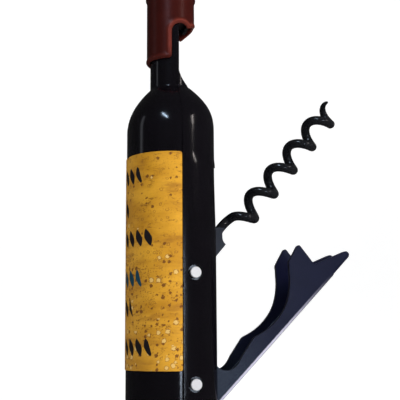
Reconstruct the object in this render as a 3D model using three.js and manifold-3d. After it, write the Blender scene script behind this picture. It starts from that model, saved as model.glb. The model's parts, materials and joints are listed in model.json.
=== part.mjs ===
// Bottle-shaped waiter's corkscrew: two plastic shells, a capsule with a crown-cap lifter,
// and a steel lever and a worm that fold into a slot down the back of the bottle.
// Millimetres, +Z up, origin at the centre of the bottle's base, +X towards the slot,
// Y along the two pivot pins. The lever and the worm are drawn half open.

import * as THREE from 'three';
import { mergeVertices } from 'three/addons/utils/BufferGeometryUtils.js';
import Module from 'manifold-3d';

const wasm = await Module();
wasm.setup();

// ---- driving dimensions ----

const BODY_R = 12.25;             // bottle outside radius
const BASE_ROUND = 1.2;           // radius of the rounded edge round the base
const FRONT_SHOULDER = [76.95, 89.55];   // where the straight side ends and the neck begins
const REAR_SHOULDER = [77.8, 90];
const NECK_R = 5.79;
const CORE_TOP_Z = 118.5;         // top of the neck, inside the capsule
const WALL = 1.6;                 // shell wall
const PARTING_X = 0.55;           // plane where the front and rear shells meet
const PARTING_GAP = 0.1;

// superellipse exponent of the rear shell's section at each height; 2 is round
const REAR_FULLNESS = [[0, 2.5], [42, 2.5], [66, 2.25], [70, 2], [78, 2], [84, 2.25], [90, 2]];

const CAPSULE_R = 6.8;
const CAPSULE_BORE_R = 5.9;
const CAPSULE_Z = [97.4, 120];
const CAPSULE_CUT_X = -1.0;       // the cut edge beside the lifter notch
const COLLAR_R = 7.15;
const COLLAR_Z = [116.4, 119.4];
const NECK_FLAT_X = 1.2;          // flat on the back of the neck
const REAR_TOP_Z = 94.2;          // top of the rear shell
const RAMP = [[6.6, 87.8], [2.7, 91.45], [1.8, 92.45], [1.4, 93.4], [NECK_FLAT_X, REAR_TOP_Z]];
const NOTCH_ROOF_Z = 107.9;       // top of the arch that the capsule is cut to
const CORE_NOTCH_TOP_Z = 109.4;   // the neck inside the capsule is cut flat up to here
const INSERT_HALF_Y = 2.9;
const INSERT_T = 1.0;
const INSERT_ROOF_Z = 109.6;
const INSERT_LIP_Z = 108.0;

const LABEL_Z = [12.0, 69.3];
const LABEL_R = [12.33, 12.45];

const PIN_X = 4.1;                // both pivots stand on this line
const LEVER_PIN_Z = 8.5;
const WORM_PIN_Z = 37.3;
const PIN_END_Y = 12.1;
const PIN_HEAD_R = 1.45;
const PIN_HEAD_T = 1.5;
const PIN_SHANK_R = 1.15;
const PIN_BORE_R = 0.7;
const PIN_CORE_R = 0.6;
const PIN_HOLE_R = 1.23;          // running holes in the lever, hub, washers and shells
const RECESS_R = 2.05;
const RECESS_FLOOR_Y = 10.5;
const BOSS_R = 3.2;

const SLOT_HALF_Y = 6.4;          // lever slot
const SLOT_FLOOR_X = -1.6;
const SLOT_TOP_Z = 67.0;
const CHANNEL_WALL = 1.6;
const WORM_SLOT_HALF_Y = 4.2;     // narrower slot over the shoulder
const WORM_SLOT_FLOOR_X = 1.9;

const LEVER_OPEN_DEG = 45.7;      // lever direction above +X as drawn
const LEVER_HALF_Y = 6.05;
const SHEET = 1.33;
const BEND_R = 1.2;
const WEB_Q = -9.6;               // outer face of the lever's web, from the pivot
const WEB_S = [1.5, 49.7];
const LEVER_HUB_R = 5.3;

const WORM_OPEN_DEG = 50.33;      // worm direction above +X as drawn
const HUB_HALF_Y = 3.0;
const HUB_SIDE = 2.88;            // half width of the hub beside the pin
const HUB_BACK_R = 5.0;
const HELIX_OFFSET = 2.4;         // helix axis below the pin, in the worm's own frame
const HELIX_R = 2.7;              // to the middle of the wire
const HELIX_PITCH = 9.51;
const HELIX_PHASE_S = 25.83;      // a turn is at its lowest here
const HELIX_S = [21.2, 69.3];
const SHANK_X = [7.4, 16.47];     // straight part of the wire, in the hub
const SHANK_Z = 0.82;
const WIRE_R = 1.29;
const TIP_TAPER = 7.9;
const TIP_S = 61.9;               // past here the wire curls in towards its point
const TIP_SHORTEN = 0.021;
const TIP_DRAW_IN = 0.002;

const SPACER_R = 2.6;
const WASHER_R = 3.2;
const WASHER_T = 0.25;

const SCREW_Z = [24, 58];
const SCREW_HEAD_R = 2.2;
const SCREW_HEAD_T = 1.3;
const SCREW_R = 1.2;
const SCREW_X = [-11.95, -4.4];
const SCREW_HOLE_R = 1.3;
const SCREW_BOSS_R = 2.8;
const BOSS_FACE_X = -8.0;

const SPRING_Z = [20, 46];
const SPRING_HALF_Y = 2.6;
const SPRING_T = 0.45;

// ---- materials ----

const material = (color, roughness, metalness) =>
  new THREE.MeshStandardMaterial({ color, roughness, metalness });

const glossBlack = material(0x100e14, 0.18, 0);
const capsuleRed = material(0x4b1510, 0.25, 0);
const corkPrint = material(0xdea532, 0.45, 0);
const paintedSteel = material(0x141926, 0.38, 0.3);
const coatedWire = material(0x0b0b0d, 0.2, 0.2);
const rivetAluminium = material(0xe8e8ea, 0.4, 0.8);
const brightSteel = material(0xb4b6ba, 0.3, 0.9);
const blackenedSteel = material(0x2d282a, 0.5, 0.6);
const nylon = material(0xe4e0d6, 0.55, 0);

// ---- helpers ----

const RAD = Math.PI / 180;

function solid(geometry) {
  geometry.deleteAttribute('normal');
  geometry.deleteAttribute('uv');
  const merged = mergeVertices(geometry, 1e-5);
  const mesh = new wasm.Mesh({
    numProp: 3,
    vertProperties: new Float32Array(merged.attributes.position.array),
    triVerts: new Uint32Array(merged.index.array),
  });
  return new wasm.Manifold(mesh);
}

function geometryOf(manifold) {
  const mesh = manifold.getMesh();
  const geometry = new THREE.BufferGeometry();
  geometry.setAttribute('position', new THREE.BufferAttribute(mesh.vertProperties, 3));
  geometry.setIndex(new THREE.BufferAttribute(mesh.triVerts, 1));
  geometry.computeVertexNormals();
  return geometry;
}

function part(name, manifold, look) {
  const mesh = new THREE.Mesh(geometryOf(manifold), look);
  mesh.name = name;
  return mesh;
}

// A solid of revolution about Z; the profile is [radius, z] from the axis up to the axis.
function turned(profile, segments = 48) {
  const points = profile.map(([r, z]) => new THREE.Vector2(r, z));
  return solid(new THREE.LatheGeometry(points, segments).rotateX(Math.PI / 2));
}

function box([x0, x1], [y0, y1], [z0, z1]) {
  const geometry = new THREE.BoxGeometry(x1 - x0, y1 - y0, z1 - z0);
  return solid(geometry.translate((x0 + x1) / 2, (y0 + y1) / 2, (z0 + z1) / 2));
}

// A bar along Y from y0 to y1.
function roundY(radius, [y0, y1], x = 0, z = 0, segments = 24) {
  const geometry = new THREE.CylinderGeometry(radius, radius, y1 - y0, segments);
  return solid(geometry.translate(x, (y0 + y1) / 2, z));
}

// A bar along X from x0 to x1.
function roundX(radius, [x0, x1], z, segments = 24) {
  const geometry = new THREE.CylinderGeometry(radius, radius, x1 - x0, segments);
  return solid(geometry.rotateZ(-Math.PI / 2).translate((x0 + x1) / 2, 0, z));
}

// An outline in the XZ plane, carried from y0 to y1.
function slab(shape, [y0, y1], curveSegments = 6) {
  const geometry = new THREE.ExtrudeGeometry(shape, {
    depth: y1 - y0,
    bevelEnabled: false,
    curveSegments,
  });
  return solid(geometry.rotateX(Math.PI / 2).translate(0, y1, 0));
}

function outline(points) {
  return new THREE.Shape(points.map(([x, z]) => new THREE.Vector2(x, z)));
}

const all = (first, ...rest) => rest.reduce((sum, next) => sum.add(next), first);
const both = (make) => [-1, 1].map(make);
const span = (side, a, b) => (side < 0 ? [-b, -a] : [a, b]);

// ---- bottle outline ----

function shoulderRadius(z, [low, high] = FRONT_SHOULDER) {
  const t = THREE.MathUtils.clamp((z - low) / (high - low), 0, 1);
  return BODY_R - (BODY_R - NECK_R) * t * t;
}

function arc(cx, cz, radius, fromDeg, toDeg, steps) {
  return Array.from({ length: steps + 1 }, (_, i) => {
    const a = (fromDeg + ((toDeg - fromDeg) * i) / steps) * RAD;
    return [cx + radius * Math.cos(a), cz + radius * Math.sin(a)];
  });
}

const shoulder = Array.from({ length: 9 }, (_, i) => {
  const z = THREE.MathUtils.lerp(FRONT_SHOULDER[0], FRONT_SHOULDER[1], i / 8);
  return [shoulderRadius(z), z];
});
const baseEdge = arc(BODY_R - BASE_ROUND, BASE_ROUND, BASE_ROUND, -90, 0, 4);

const bottle = turned([[0, 0], ...baseEdge, ...shoulder, [NECK_R, CORE_TOP_Z], [0, CORE_TOP_Z]]);

function fullness(z) {
  const above = REAR_FULLNESS.findIndex(([height]) => height > z);
  if (above < 1) return 2;
  const [[z0, n0], [z1, n1]] = REAR_FULLNESS.slice(above - 1, above + 1);
  return THREE.MathUtils.mapLinear(z, z0, z1, n0, n1);
}

// The rear shell is a little fuller than round, so its lips stand out beside the slot,
// and its shoulder is a little higher than the front shell's.
function fullBottle() {
  const rings = REAR_FULLNESS.slice(1, 4).map(([z]) => [BODY_R, z]);
  const round = turned([
    [0, 0], ...baseEdge, ...rings, ...shoulder,
    [NECK_R, REAR_SHOULDER[1]], [NECK_R, CORE_TOP_Z], [0, CORE_TOP_Z],
  ]);
  return round.warp((v) => {
    const r = Math.hypot(v[0], v[1]);
    if (v[0] <= 0 || r === 0) return;
    const n = fullness(v[2]);
    const sum = (v[0] / r) ** n + (Math.abs(v[1]) / r) ** n;
    const raised = shoulderRadius(v[2], REAR_SHOULDER) / shoulderRadius(v[2]);
    const turn = THREE.MathUtils.smoothstep(v[0] / r, 0, 0.9);
    const grow = sum ** (-1 / n) * (1 + (raised - 1) * turn);
    v[0] *= grow;
    v[1] *= grow;
  });
}

const [hollowShoulder] = FRONT_SHOULDER;
const hollow = turned([
  [0, WALL],
  [BODY_R - WALL, WALL],
  [BODY_R - WALL, hollowShoulder],
  [shoulderRadius(hollowShoulder + 5) - WALL, hollowShoulder + 4],
  [shoulderRadius(hollowShoulder + 8) - WALL - 0.6, hollowShoulder + 8],
  [0, hollowShoulder + 8],
]);

const FAR = 40;
const frontHalf = box([-FAR, PARTING_X - PARTING_GAP / 2], [-FAR, FAR], [-1, CORE_TOP_Z + 1]);
const rearHalf = box([PARTING_X + PARTING_GAP / 2, FAR], [-FAR, FAR], [-1, REAR_TOP_Z]);

// The arch that the capsule is cut to, seen along Y: its far end leaves the hook's point.
function notchShape() {
  const left = CAPSULE_CUT_X;
  const roof = NOTCH_ROOF_Z;
  const shape = new THREE.Shape();
  shape.moveTo(left, REAR_TOP_Z);
  shape.lineTo(left, roof - 2.6);
  shape.bezierCurveTo(left, roof - 0.9, 0.6, roof, 1.9, roof);
  shape.bezierCurveTo(2.9, roof, 3.6, roof - 0.5, 3.95, roof - 1.15);
  shape.lineTo(5.5, roof + 0.1);
  shape.lineTo(7.8, roof + 1.1);
  shape.lineTo(FAR, roof + 1.1);
  shape.lineTo(FAR, REAR_TOP_Z);
  return shape;
}

// ---- shells ----

function pinBosses(z) {
  return both((side) => roundY(BOSS_R, span(side, SLOT_HALF_Y, FAR), PIN_X, z));
}

function pinHoles(z) {
  return [
    roundY(PIN_HOLE_R, [-FAR, FAR], PIN_X, z),
    ...both((side) => roundY(RECESS_R, span(side, RECESS_FLOOR_Y, FAR), PIN_X, z)),
  ];
}

function rampCut() {
  const [low, high] = [RAMP[0], RAMP.at(-1)];
  const above = [[high[0], high[1] + 1], [FAR, high[1] + 1], [FAR, low[1]]];
  return slab(outline([...RAMP, ...above]), [-FAR, FAR]);
}

function frontShell() {
  const bosses = SCREW_Z.map((z) => roundX(SCREW_BOSS_R, [-BODY_R + 0.4, BOSS_FACE_X - 0.1], z));
  const holes = SCREW_Z.flatMap((z) => [
    roundX(SCREW_HOLE_R + 0.2, [-FAR, 0], z),
    roundX(SCREW_HEAD_R + 0.25, [-FAR, SCREW_X[0] + SCREW_HEAD_T + 0.1], z),
  ]);
  const neckBack = box([NECK_FLAT_X, FAR], [-FAR, FAR], [REAR_TOP_Z, CORE_NOTCH_TOP_Z]);
  const pocket = box(
    [NECK_FLAT_X, FAR],
    [-INSERT_HALF_Y - 0.15, INSERT_HALF_Y + 0.15],
    [REAR_TOP_Z, INSERT_ROOF_Z + INSERT_T + 0.15],
  );
  const legSlot = box(
    [NECK_FLAT_X - 3.3, NECK_FLAT_X + 0.1],
    [-INSERT_HALF_Y - 0.15, INSERT_HALF_Y + 0.15],
    [INSERT_ROOF_Z - 4.6, INSERT_ROOF_Z + INSERT_T + 0.15],
  );
  const neck = bottle.intersect(box([-FAR, FAR], [-FAR, FAR], [REAR_TOP_Z, FAR * 3]));
  const shell = bottle.intersect(frontHalf).subtract(hollow).add(neck);
  const bossed = all(shell, ...bosses).intersect(bottle);
  return [...holes, neckBack, pocket, legSlot].reduce((s, cut) => s.subtract(cut), bossed);
}

function rearShell() {
  const wallY = SLOT_HALF_Y + CHANNEL_WALL;
  const wormWallY = WORM_SLOT_HALF_Y + CHANNEL_WALL;
  const channel = box([SLOT_FLOOR_X - CHANNEL_WALL, FAR], [-wallY, wallY],
    [WALL + 0.3, SLOT_TOP_Z + CHANNEL_WALL]);
  const upper = box([PARTING_X + PARTING_GAP / 2, FAR], [-wormWallY, wormWallY],
    [SLOT_TOP_Z, FAR * 3]);
  const screwBosses = SCREW_Z.map((z) => roundX(SCREW_BOSS_R, [BOSS_FACE_X, SLOT_FLOOR_X], z));
  const bosses = [LEVER_PIN_Z, WORM_PIN_Z].flatMap(pinBosses);
  const outer = fullBottle();
  const skin = outer.intersect(rearHalf).subtract(hollow);
  const inside = outer.intersect(box([-FAR, FAR], [-FAR, FAR], [WALL + 0.3, REAR_TOP_Z]));
  const ribs = all(channel, upper, ...bosses).intersect(inside)
    .subtract(box([-FAR, SLOT_FLOOR_X - CHANNEL_WALL], [-FAR, FAR], [0, FAR * 3]));
  const rearRibs = ribs.subtract(box([-FAR, PARTING_X + PARTING_GAP / 2], [-FAR, FAR],
    [SLOT_TOP_Z + CHANNEL_WALL, FAR * 3]));
  const cuts = [
    box([SLOT_FLOOR_X, FAR], [-SLOT_HALF_Y, SLOT_HALF_Y], [-1, SLOT_TOP_Z]),
    box([WORM_SLOT_FLOOR_X, FAR], [-WORM_SLOT_HALF_Y, WORM_SLOT_HALF_Y], [SLOT_TOP_Z - 1, FAR * 3]),
    rampCut(),
    ...pinHoles(LEVER_PIN_Z),
    ...pinHoles(WORM_PIN_Z),
    ...SCREW_Z.map((z) => roundX(SCREW_HOLE_R, [BOSS_FACE_X - 1, SLOT_FLOOR_X - 0.8], z)),
    box([-FAR, SLOT_FLOOR_X + 1], [-SPRING_HALF_Y - 0.15, SPRING_HALF_Y + 0.15],
      [SPRING_Z[0] - 0.15, SPRING_Z[0] + SPRING_T + 0.15]).intersect(
      box([SLOT_FLOOR_X - CHANNEL_WALL - 0.1, SLOT_FLOOR_X + 1], [-FAR, FAR], [0, FAR])),
  ];
  return cuts.reduce((s, cut) => s.subtract(cut), all(skin, rearRibs, ...screwBosses));
}

// ---- capsule and crown-cap lifter ----

function capsule() {
  const [z0, z1] = CAPSULE_Z;
  const edge = 0.45;
  const outer = turned([
    [0, z0],
    [CAPSULE_R - edge, z0],
    [CAPSULE_R, z0 + edge],
    [CAPSULE_R, COLLAR_Z[0] - 0.3],
    [COLLAR_R, COLLAR_Z[0]],
    [COLLAR_R, COLLAR_Z[1] - 0.3],
    [COLLAR_R - 0.9, z1],
    [0, z1],
  ]);
  const bore = turned([[0, z0 - 1], [CAPSULE_BORE_R, z0 - 1], [CAPSULE_BORE_R, z1 - 1.3],
    [0, z1 - 1.3]]);
  return outer.subtract(bore).subtract(slab(notchShape(), [-FAR, FAR]));
}

function capLifter() {
  const leg = NECK_FLAT_X - 3.1;
  const roof = INSERT_ROOF_Z + INSERT_T;
  const lip = 4.9;
  return slab(outline([
    [leg, INSERT_ROOF_Z - 4.4],
    [leg + INSERT_T, INSERT_ROOF_Z - 4.4],
    [leg + INSERT_T, INSERT_ROOF_Z],
    [lip - INSERT_T, INSERT_ROOF_Z],
    [lip - INSERT_T, INSERT_LIP_Z + 0.4],
    [lip - 0.4, INSERT_LIP_Z],
    [lip, INSERT_LIP_Z + 0.2],
    [lip, roof - 0.5],
    [lip - 0.5, roof],
    [leg, roof],
  ]), [-INSERT_HALF_Y, INSERT_HALF_Y]);
}

function label() {
  const [inner, outer] = LABEL_R;
  const ring = turned([[0, LABEL_Z[0]], [outer, LABEL_Z[0]], [outer, LABEL_Z[1]], [0, LABEL_Z[1]]])
    .subtract(turned([[0, 0], [inner, 0], [inner, 100], [0, 100]]));
  return ring.subtract(box([PARTING_X - 0.15, FAR], [-FAR, FAR], [-1, 100]));
}

// ---- lever: a U-channel in its own frame, X along the lever and Z towards its open side ----

function leverSide() {
  const shape = new THREE.Shape();
  shape.moveTo(WEB_S[0], WEB_Q);
  shape.lineTo(WEB_S[1], WEB_Q);
  shape.lineTo(50.3, -9.25);                      // end of the web
  shape.lineTo(56.8, -9.2);                       // under the far tooth
  shape.quadraticCurveTo(57.7, -8.9, 57.6, -7.9);
  shape.lineTo(57.2, -7.2);
  shape.lineTo(47.8, -3.3);                       // foot of the V between the teeth
  shape.lineTo(48.25, 0.2);
  shape.lineTo(48.6, 3.1);
  shape.quadraticCurveTo(48.75, 4.05, 47.6, 3.8); // near tooth
  shape.lineTo(42.8, 2.5);
  shape.quadraticCurveTo(41.9, 1.3, 41.0, 0.5);
  shape.bezierCurveTo(39.4, -1.4, 37.2, -3.4, 34.0, -4.85);
  shape.bezierCurveTo(31.2, -6.0, 26.9, -6.5, 22.5, -4.95);
  shape.lineTo(21.2, -4.5);
  shape.quadraticCurveTo(20.5, -4.3, 19.7, -4.55);
  shape.lineTo(14.6, -5.45);
  shape.quadraticCurveTo(11.9, -6.4, 10.2, -5.7);
  shape.quadraticCurveTo(8.9, -5.0, 8.2, -3.4);
  shape.quadraticCurveTo(8.1, 1.6, 4.6, 3.2);
  shape.absarc(0, 0, LEVER_HUB_R, 40 * RAD, 222 * RAD, false);
  return shape;
}

// The bent sheet seen along the lever: a flat web with rounded corners and two sides.
function channelSection() {
  const y = LEVER_HALF_Y;
  const shape = new THREE.Shape();
  shape.moveTo(-y, 6);
  shape.lineTo(-y, WEB_Q + BEND_R);
  shape.absarc(-y + BEND_R, WEB_Q + BEND_R, BEND_R, Math.PI, 1.5 * Math.PI, false);
  shape.lineTo(y - BEND_R, WEB_Q);
  shape.absarc(y - BEND_R, WEB_Q + BEND_R, BEND_R, 1.5 * Math.PI, 2 * Math.PI, false);
  shape.lineTo(y, 6);
  shape.lineTo(y - SHEET, 6);
  shape.lineTo(y - SHEET, WEB_Q + SHEET);
  shape.lineTo(-y + SHEET, WEB_Q + SHEET);
  shape.lineTo(-y + SHEET, 6);
  return shape;
}

function lever() {
  const length = 70;
  const bent = new THREE.ExtrudeGeometry(channelSection(), {
    depth: length,
    bevelEnabled: false,
    curveSegments: 5,
  });
  // section X becomes Y, section Y becomes Z, and the extrusion runs along X
  bent.rotateX(Math.PI / 2).rotateZ(Math.PI / 2).translate(-8, 0, 0);
  const sides = slab(leverSide(), [-LEVER_HALF_Y - 1, LEVER_HALF_Y + 1], 8);
  const webEnd = box([WEB_S[1], FAR * 2], [SHEET - LEVER_HALF_Y, LEVER_HALF_Y - SHEET], [-FAR, FAR]);
  return solid(bent).intersect(sides).subtract(webEnd)
    .subtract(roundY(PIN_HOLE_R, [-FAR, FAR]));
}

// ---- worm and hub, X along the worm and Z away from the helix axis ----

class Helix extends THREE.Curve {
  getPoint(t, target = new THREE.Vector3()) {
    const s = THREE.MathUtils.lerp(HELIX_S[0], HELIX_S[1], t);
    const angle = (2 * Math.PI * (s - HELIX_PHASE_S)) / HELIX_PITCH;
    const past = Math.max(0, s - TIP_S) ** 2;
    const r = HELIX_R * (1 - TIP_DRAW_IN * past);
    return target.set(
      s - TIP_SHORTEN * past,
      r * Math.sin(angle),
      -HELIX_OFFSET - r * Math.cos(angle),
    );
  }
}

// The straight shank inside the hub, swept into the first turn.
function wormPath() {
  const helix = new Helix();
  const start = helix.getPoint(0);
  const along = helix.getTangent(0);
  const path = new THREE.CurvePath();
  const shankStart = new THREE.Vector3(SHANK_X[0], 0, SHANK_Z);
  const shankEnd = new THREE.Vector3(SHANK_X[1], 0, SHANK_Z);
  path.add(new THREE.LineCurve3(shankStart, shankEnd));
  path.add(new THREE.CubicBezierCurve3(
    shankEnd,
    shankEnd.clone().add(new THREE.Vector3(2.54, 0, 0)),
    start.clone().addScaledVector(along, -2.33),
    start,
  ));
  path.add(helix);
  return path;
}

// A round wire whose radius may change along the way, closed by a fan at each end.
function wire(path, steps, sides, radiusAt) {
  const frames = path.computeFrenetFrames(steps, false);
  const positions = [];
  const faces = [];
  for (let i = 0; i <= steps; i += 1) {
    const centre = path.getPointAt(i / steps);
    for (let j = 0; j < sides; j += 1) {
      const a = (2 * Math.PI * j) / sides;
      const point = centre.clone()
        .addScaledVector(frames.normals[i], radiusAt(i / steps) * Math.cos(a))
        .addScaledVector(frames.binormals[i], radiusAt(i / steps) * Math.sin(a));
      positions.push(point.x, point.y, point.z);
    }
  }
  for (let i = 0; i < steps; i += 1) {
    for (let j = 0; j < sides; j += 1) {
      const a = i * sides + j;
      const b = i * sides + ((j + 1) % sides);
      faces.push(a, b, a + sides, b, b + sides, a + sides);
    }
  }
  for (let j = 1; j < sides - 1; j += 1) {
    const last = steps * sides;
    faces.push(0, j + 1, j, last, last + j, last + j + 1);
  }
  const geometry = new THREE.BufferGeometry();
  geometry.setAttribute('position', new THREE.Float32BufferAttribute(positions, 3));
  geometry.setIndex(faces);
  return solid(geometry);
}

function worm() {
  const path = wormPath();
  const length = path.getLength();
  const taper = (t) => Math.min(1, (length * (1 - t)) / TIP_TAPER);
  return wire(path, 120, 8, (t) => WIRE_R * (0.1 + 0.9 * Math.sqrt(taper(t))));
}

function wormHub() {
  const shape = new THREE.Shape();
  shape.moveTo(13.5, -HUB_SIDE);
  shape.quadraticCurveTo(13.6, -1.4, 14.6, -0.75);
  shape.lineTo(15.2, -0.2);
  shape.lineTo(17.0, 0.3);
  shape.lineTo(15.2, 2.3);
  shape.lineTo(14.6, 2.8);
  shape.lineTo(6.5, 2.9);
  shape.quadraticCurveTo(4.0, 4.4, 2.2, 4.4);
  shape.absarc(0, 0, HUB_BACK_R, 64 * RAD, 213 * RAD, false);
  const bore = roundX(WIRE_R + 0.1, [SHANK_X[0] - 0.2, 20], SHANK_Z, 16);
  return slab(shape, [-HUB_HALF_Y, HUB_HALF_Y])
    .subtract(bore)
    .subtract(roundY(PIN_HOLE_R, [-FAR, FAR]));
}

// ---- pivots, washers, spring and screws ----

function pivotFemale() {
  const shank = roundY(PIN_SHANK_R, [-PIN_END_Y + 0.2, RECESS_FLOOR_Y - 0.15]);
  const head = roundY(PIN_HEAD_R, [-PIN_END_Y, -PIN_END_Y + PIN_HEAD_T]);
  return shank.add(head).subtract(roundY(PIN_BORE_R, [-7, FAR], 0, 0, 24));
}

function pivotMale() {
  const head = roundY(PIN_HEAD_R, [PIN_END_Y - PIN_HEAD_T, PIN_END_Y]);
  return head.add(roundY(PIN_CORE_R, [-6.6, PIN_END_Y - 0.2], 0, 0, 24));
}

function ringY(outer, reach) {
  return roundY(outer, reach).subtract(roundY(PIN_HOLE_R, [-FAR, FAR]));
}

function detentSpring() {
  const back = SLOT_FLOOR_X + 0.1;
  const [z0, z1] = SPRING_Z;
  return slab(outline([
    [back - CHANNEL_WALL, z0],
    [back + SPRING_T, z0],
    [back + SPRING_T, z1],
    [back, z1],
    [back, z0 + SPRING_T],
    [back - CHANNEL_WALL, z0 + SPRING_T],
  ]), [-SPRING_HALF_Y, SPRING_HALF_Y]);
}

function shellScrew(z) {
  const [x0, x1] = SCREW_X;
  const drive = all(
    box([x0 - 1, x0 + 0.7], [-1.4, 1.4], [-0.3, 0.3]),
    box([x0 - 1, x0 + 0.7], [-0.3, 0.3], [-1.4, 1.4]),
  );
  return roundX(SCREW_HEAD_R, [x0, x0 + SCREW_HEAD_T], 0)
    .add(roundX(SCREW_R, [x0, x1], 0))
    .subtract(drive)
    .translate([0, 0, z]);
}

// ---- assembly ----

const group = new THREE.Group();

group.add(
  part('front_shell', frontShell(), glossBlack),
  part('rear_shell', rearShell(), glossBlack),
  part('capsule', capsule(), capsuleRed),
  part('cap_lifter_insert', capLifter(), blackenedSteel),
  part('label', label(), corkPrint),
  part('worm_detent_spring', detentSpring(), brightSteel),
);
SCREW_Z.forEach((z, i) => group.add(part(`shell_screw_${i + 1}`, shellScrew(z), brightSteel)));

function pivotSet(name, z) {
  const set = new THREE.Group();
  set.position.set(PIN_X, 0, z);
  set.add(part(`${name}_pivot_female`, pivotFemale(), rivetAluminium));
  set.add(part(`${name}_pivot_male`, pivotMale(), rivetAluminium));
  return set;
}

const leverPivot = pivotSet('lever', LEVER_PIN_Z);
const wormPivot = pivotSet('worm', WORM_PIN_Z);
both((side) => {
  const word = side < 0 ? 'left' : 'right';
  const middle = (LEVER_HALF_Y + SLOT_HALF_Y) / 2;
  const washer = ringY(WASHER_R, span(side, middle - WASHER_T / 2, middle + WASHER_T / 2));
  leverPivot.add(part(`lever_washer_${word}`, washer, nylon));
  const spacer = ringY(SPACER_R, span(side, HUB_HALF_Y + 0.1, SLOT_HALF_Y - 0.1));
  wormPivot.add(part(`worm_spacer_${word}`, spacer, nylon));
});
group.add(leverPivot, wormPivot);

const leverGroup = new THREE.Group();
leverGroup.position.set(PIN_X, 0, LEVER_PIN_Z);
leverGroup.rotation.y = -LEVER_OPEN_DEG * RAD;
leverGroup.add(part('lever', lever(), paintedSteel));
group.add(leverGroup);

const wormGroup = new THREE.Group();
wormGroup.position.set(PIN_X, 0, WORM_PIN_Z);
wormGroup.rotation.y = -WORM_OPEN_DEG * RAD;
wormGroup.add(part('worm_hub', wormHub(), paintedSteel), part('worm', worm(), coatedWire));
group.add(wormGroup);

export default group;
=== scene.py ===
"""Looks for the bottle-shaped waiter's corkscrew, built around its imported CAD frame.

Shapes are made in millimetres, in the CAD's own axes, and scaled to metres when they are placed:
+Z up the bottle, +X towards the slot side, Y along the pivot pins, origin at the base's centre.
"""

import json
import math

import bmesh
import bpy
import numpy as np
from mathutils import Matrix, Vector


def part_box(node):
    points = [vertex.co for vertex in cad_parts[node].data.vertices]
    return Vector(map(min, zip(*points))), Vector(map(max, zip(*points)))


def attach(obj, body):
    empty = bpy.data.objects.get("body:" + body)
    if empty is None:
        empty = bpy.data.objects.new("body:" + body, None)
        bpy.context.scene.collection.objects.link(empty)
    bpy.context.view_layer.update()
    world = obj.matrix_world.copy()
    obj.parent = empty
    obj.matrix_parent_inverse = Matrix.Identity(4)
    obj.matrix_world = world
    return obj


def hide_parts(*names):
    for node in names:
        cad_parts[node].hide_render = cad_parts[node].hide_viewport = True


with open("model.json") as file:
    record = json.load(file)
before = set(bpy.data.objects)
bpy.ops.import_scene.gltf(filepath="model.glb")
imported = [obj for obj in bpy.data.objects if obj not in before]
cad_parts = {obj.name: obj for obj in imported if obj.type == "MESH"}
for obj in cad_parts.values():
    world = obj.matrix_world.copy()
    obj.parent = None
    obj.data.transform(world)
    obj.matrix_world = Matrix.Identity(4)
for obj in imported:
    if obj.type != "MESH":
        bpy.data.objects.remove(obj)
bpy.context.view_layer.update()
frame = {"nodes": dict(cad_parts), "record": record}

MM = 0.001


def box_mm(node):
    """A CAD node's lowest and highest corners, in millimetres."""
    low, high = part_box(node)
    return np.array(low) / MM, np.array(high) / MM


def joint_mm(name):
    """Where a joint's pin stands, in millimetres."""
    for joint in frame["record"]["behaviour"]["joints"]:
        if joint["name"] == name:
            return np.array(joint["pos_m"]) / MM
    raise KeyError(name)


# ---- sizes in millimetres, from the frame and from the design ----

FRONT_LOW, FRONT_HIGH = box_mm("front_shell")
CAPSULE_LOW, CAPSULE_HIGH = box_mm("capsule")
LABEL_LOW, LABEL_HIGH = box_mm("label")
LEVER_PIN = joint_mm("lever_fold")
WORM_PIN = joint_mm("worm_fold")

BODY_R = -FRONT_LOW[0]
NECK_R = FRONT_HIGH[0]
CORE_TOP = FRONT_HIGH[2]
BASE_ROUND = 1.2
FRONT_SHOULDER = (76.95, 89.55)
REAR_SHOULDER = (77.8, 90.0)
NECK_BLEND = 0.10
PARTING_X = 0.55
PARTING_GAP = 0.1
REAR_FULLNESS = ((42, 2.5), (66, 2.25), (70, 2.0), (78, 2.0), (84, 2.25), (90, 2.0))
NECK_FLAT_X = 1.2
REAR_TOP_Z = 94.2
RAMP_FOOT = (6.6, 87.8)
RAMP_BEND = ((3.4, 90.6), (1.8, 92.05), (NECK_FLAT_X, REAR_TOP_Z))

CAPSULE_R = 6.8
CAPSULE_BORE_R = 5.9
CAPSULE_CUT_X = -1.0
COLLAR_R = CAPSULE_HIGH[0]
COLLAR_Z = (116.4, 119.4)
NOTCH_ROOF_Z = 107.9
CORE_NOTCH_TOP_Z = 109.4

SLOT_HALF_Y = 6.4
SLOT_FLOOR_X = -1.6
SLOT_TOP_Z = 67.0
CHANNEL_WALL = 1.6
CHANNEL_Z = (1.9, 68.6)
WORM_SLOT_HALF_Y = 4.2
WORM_SLOT_FLOOR_X = 1.9
LIP_ROUND = 0.4

PIN_END_Y = 12.1
PIN_HEAD_R = 1.45
PIN_HEAD_T = 1.5
PIN_SHANK_R = 1.15
PIN_BORE_R = 0.7
PIN_CORE_R = 0.6
PIN_HOLE_R = 1.23
RECESS_R = 2.05
RECESS_RIM = 0.12
RECESS_FLOOR_Y = 10.5

LEVER_ANGLE = math.radians(45.7)
LEVER_HALF_Y = 6.05
SHEET = 1.33
BEND_R = 1.2
WEB_Q = -9.6
WEB_S = (1.5, 49.7)
LEVER_HUB_R = 5.3

WORM_ANGLE = math.radians(50.33)
HUB_HALF_Y = 3.0
HUB_SIDE = 2.88
HUB_BACK_R = 5.0
HELIX_OFFSET = 2.4
HELIX_R = 2.7
HELIX_PITCH = 9.51
HELIX_PHASE_S = 25.83
HELIX_S = (21.2, 69.3)
SHANK_X = (7.4, 16.47)
SHANK_Z = 0.82
WIRE_R = 1.29
TIP_TAPER = 7.9
TIP_S = 61.9
TIP_SHORTEN = 0.021
TIP_DRAW_IN = 0.002

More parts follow.
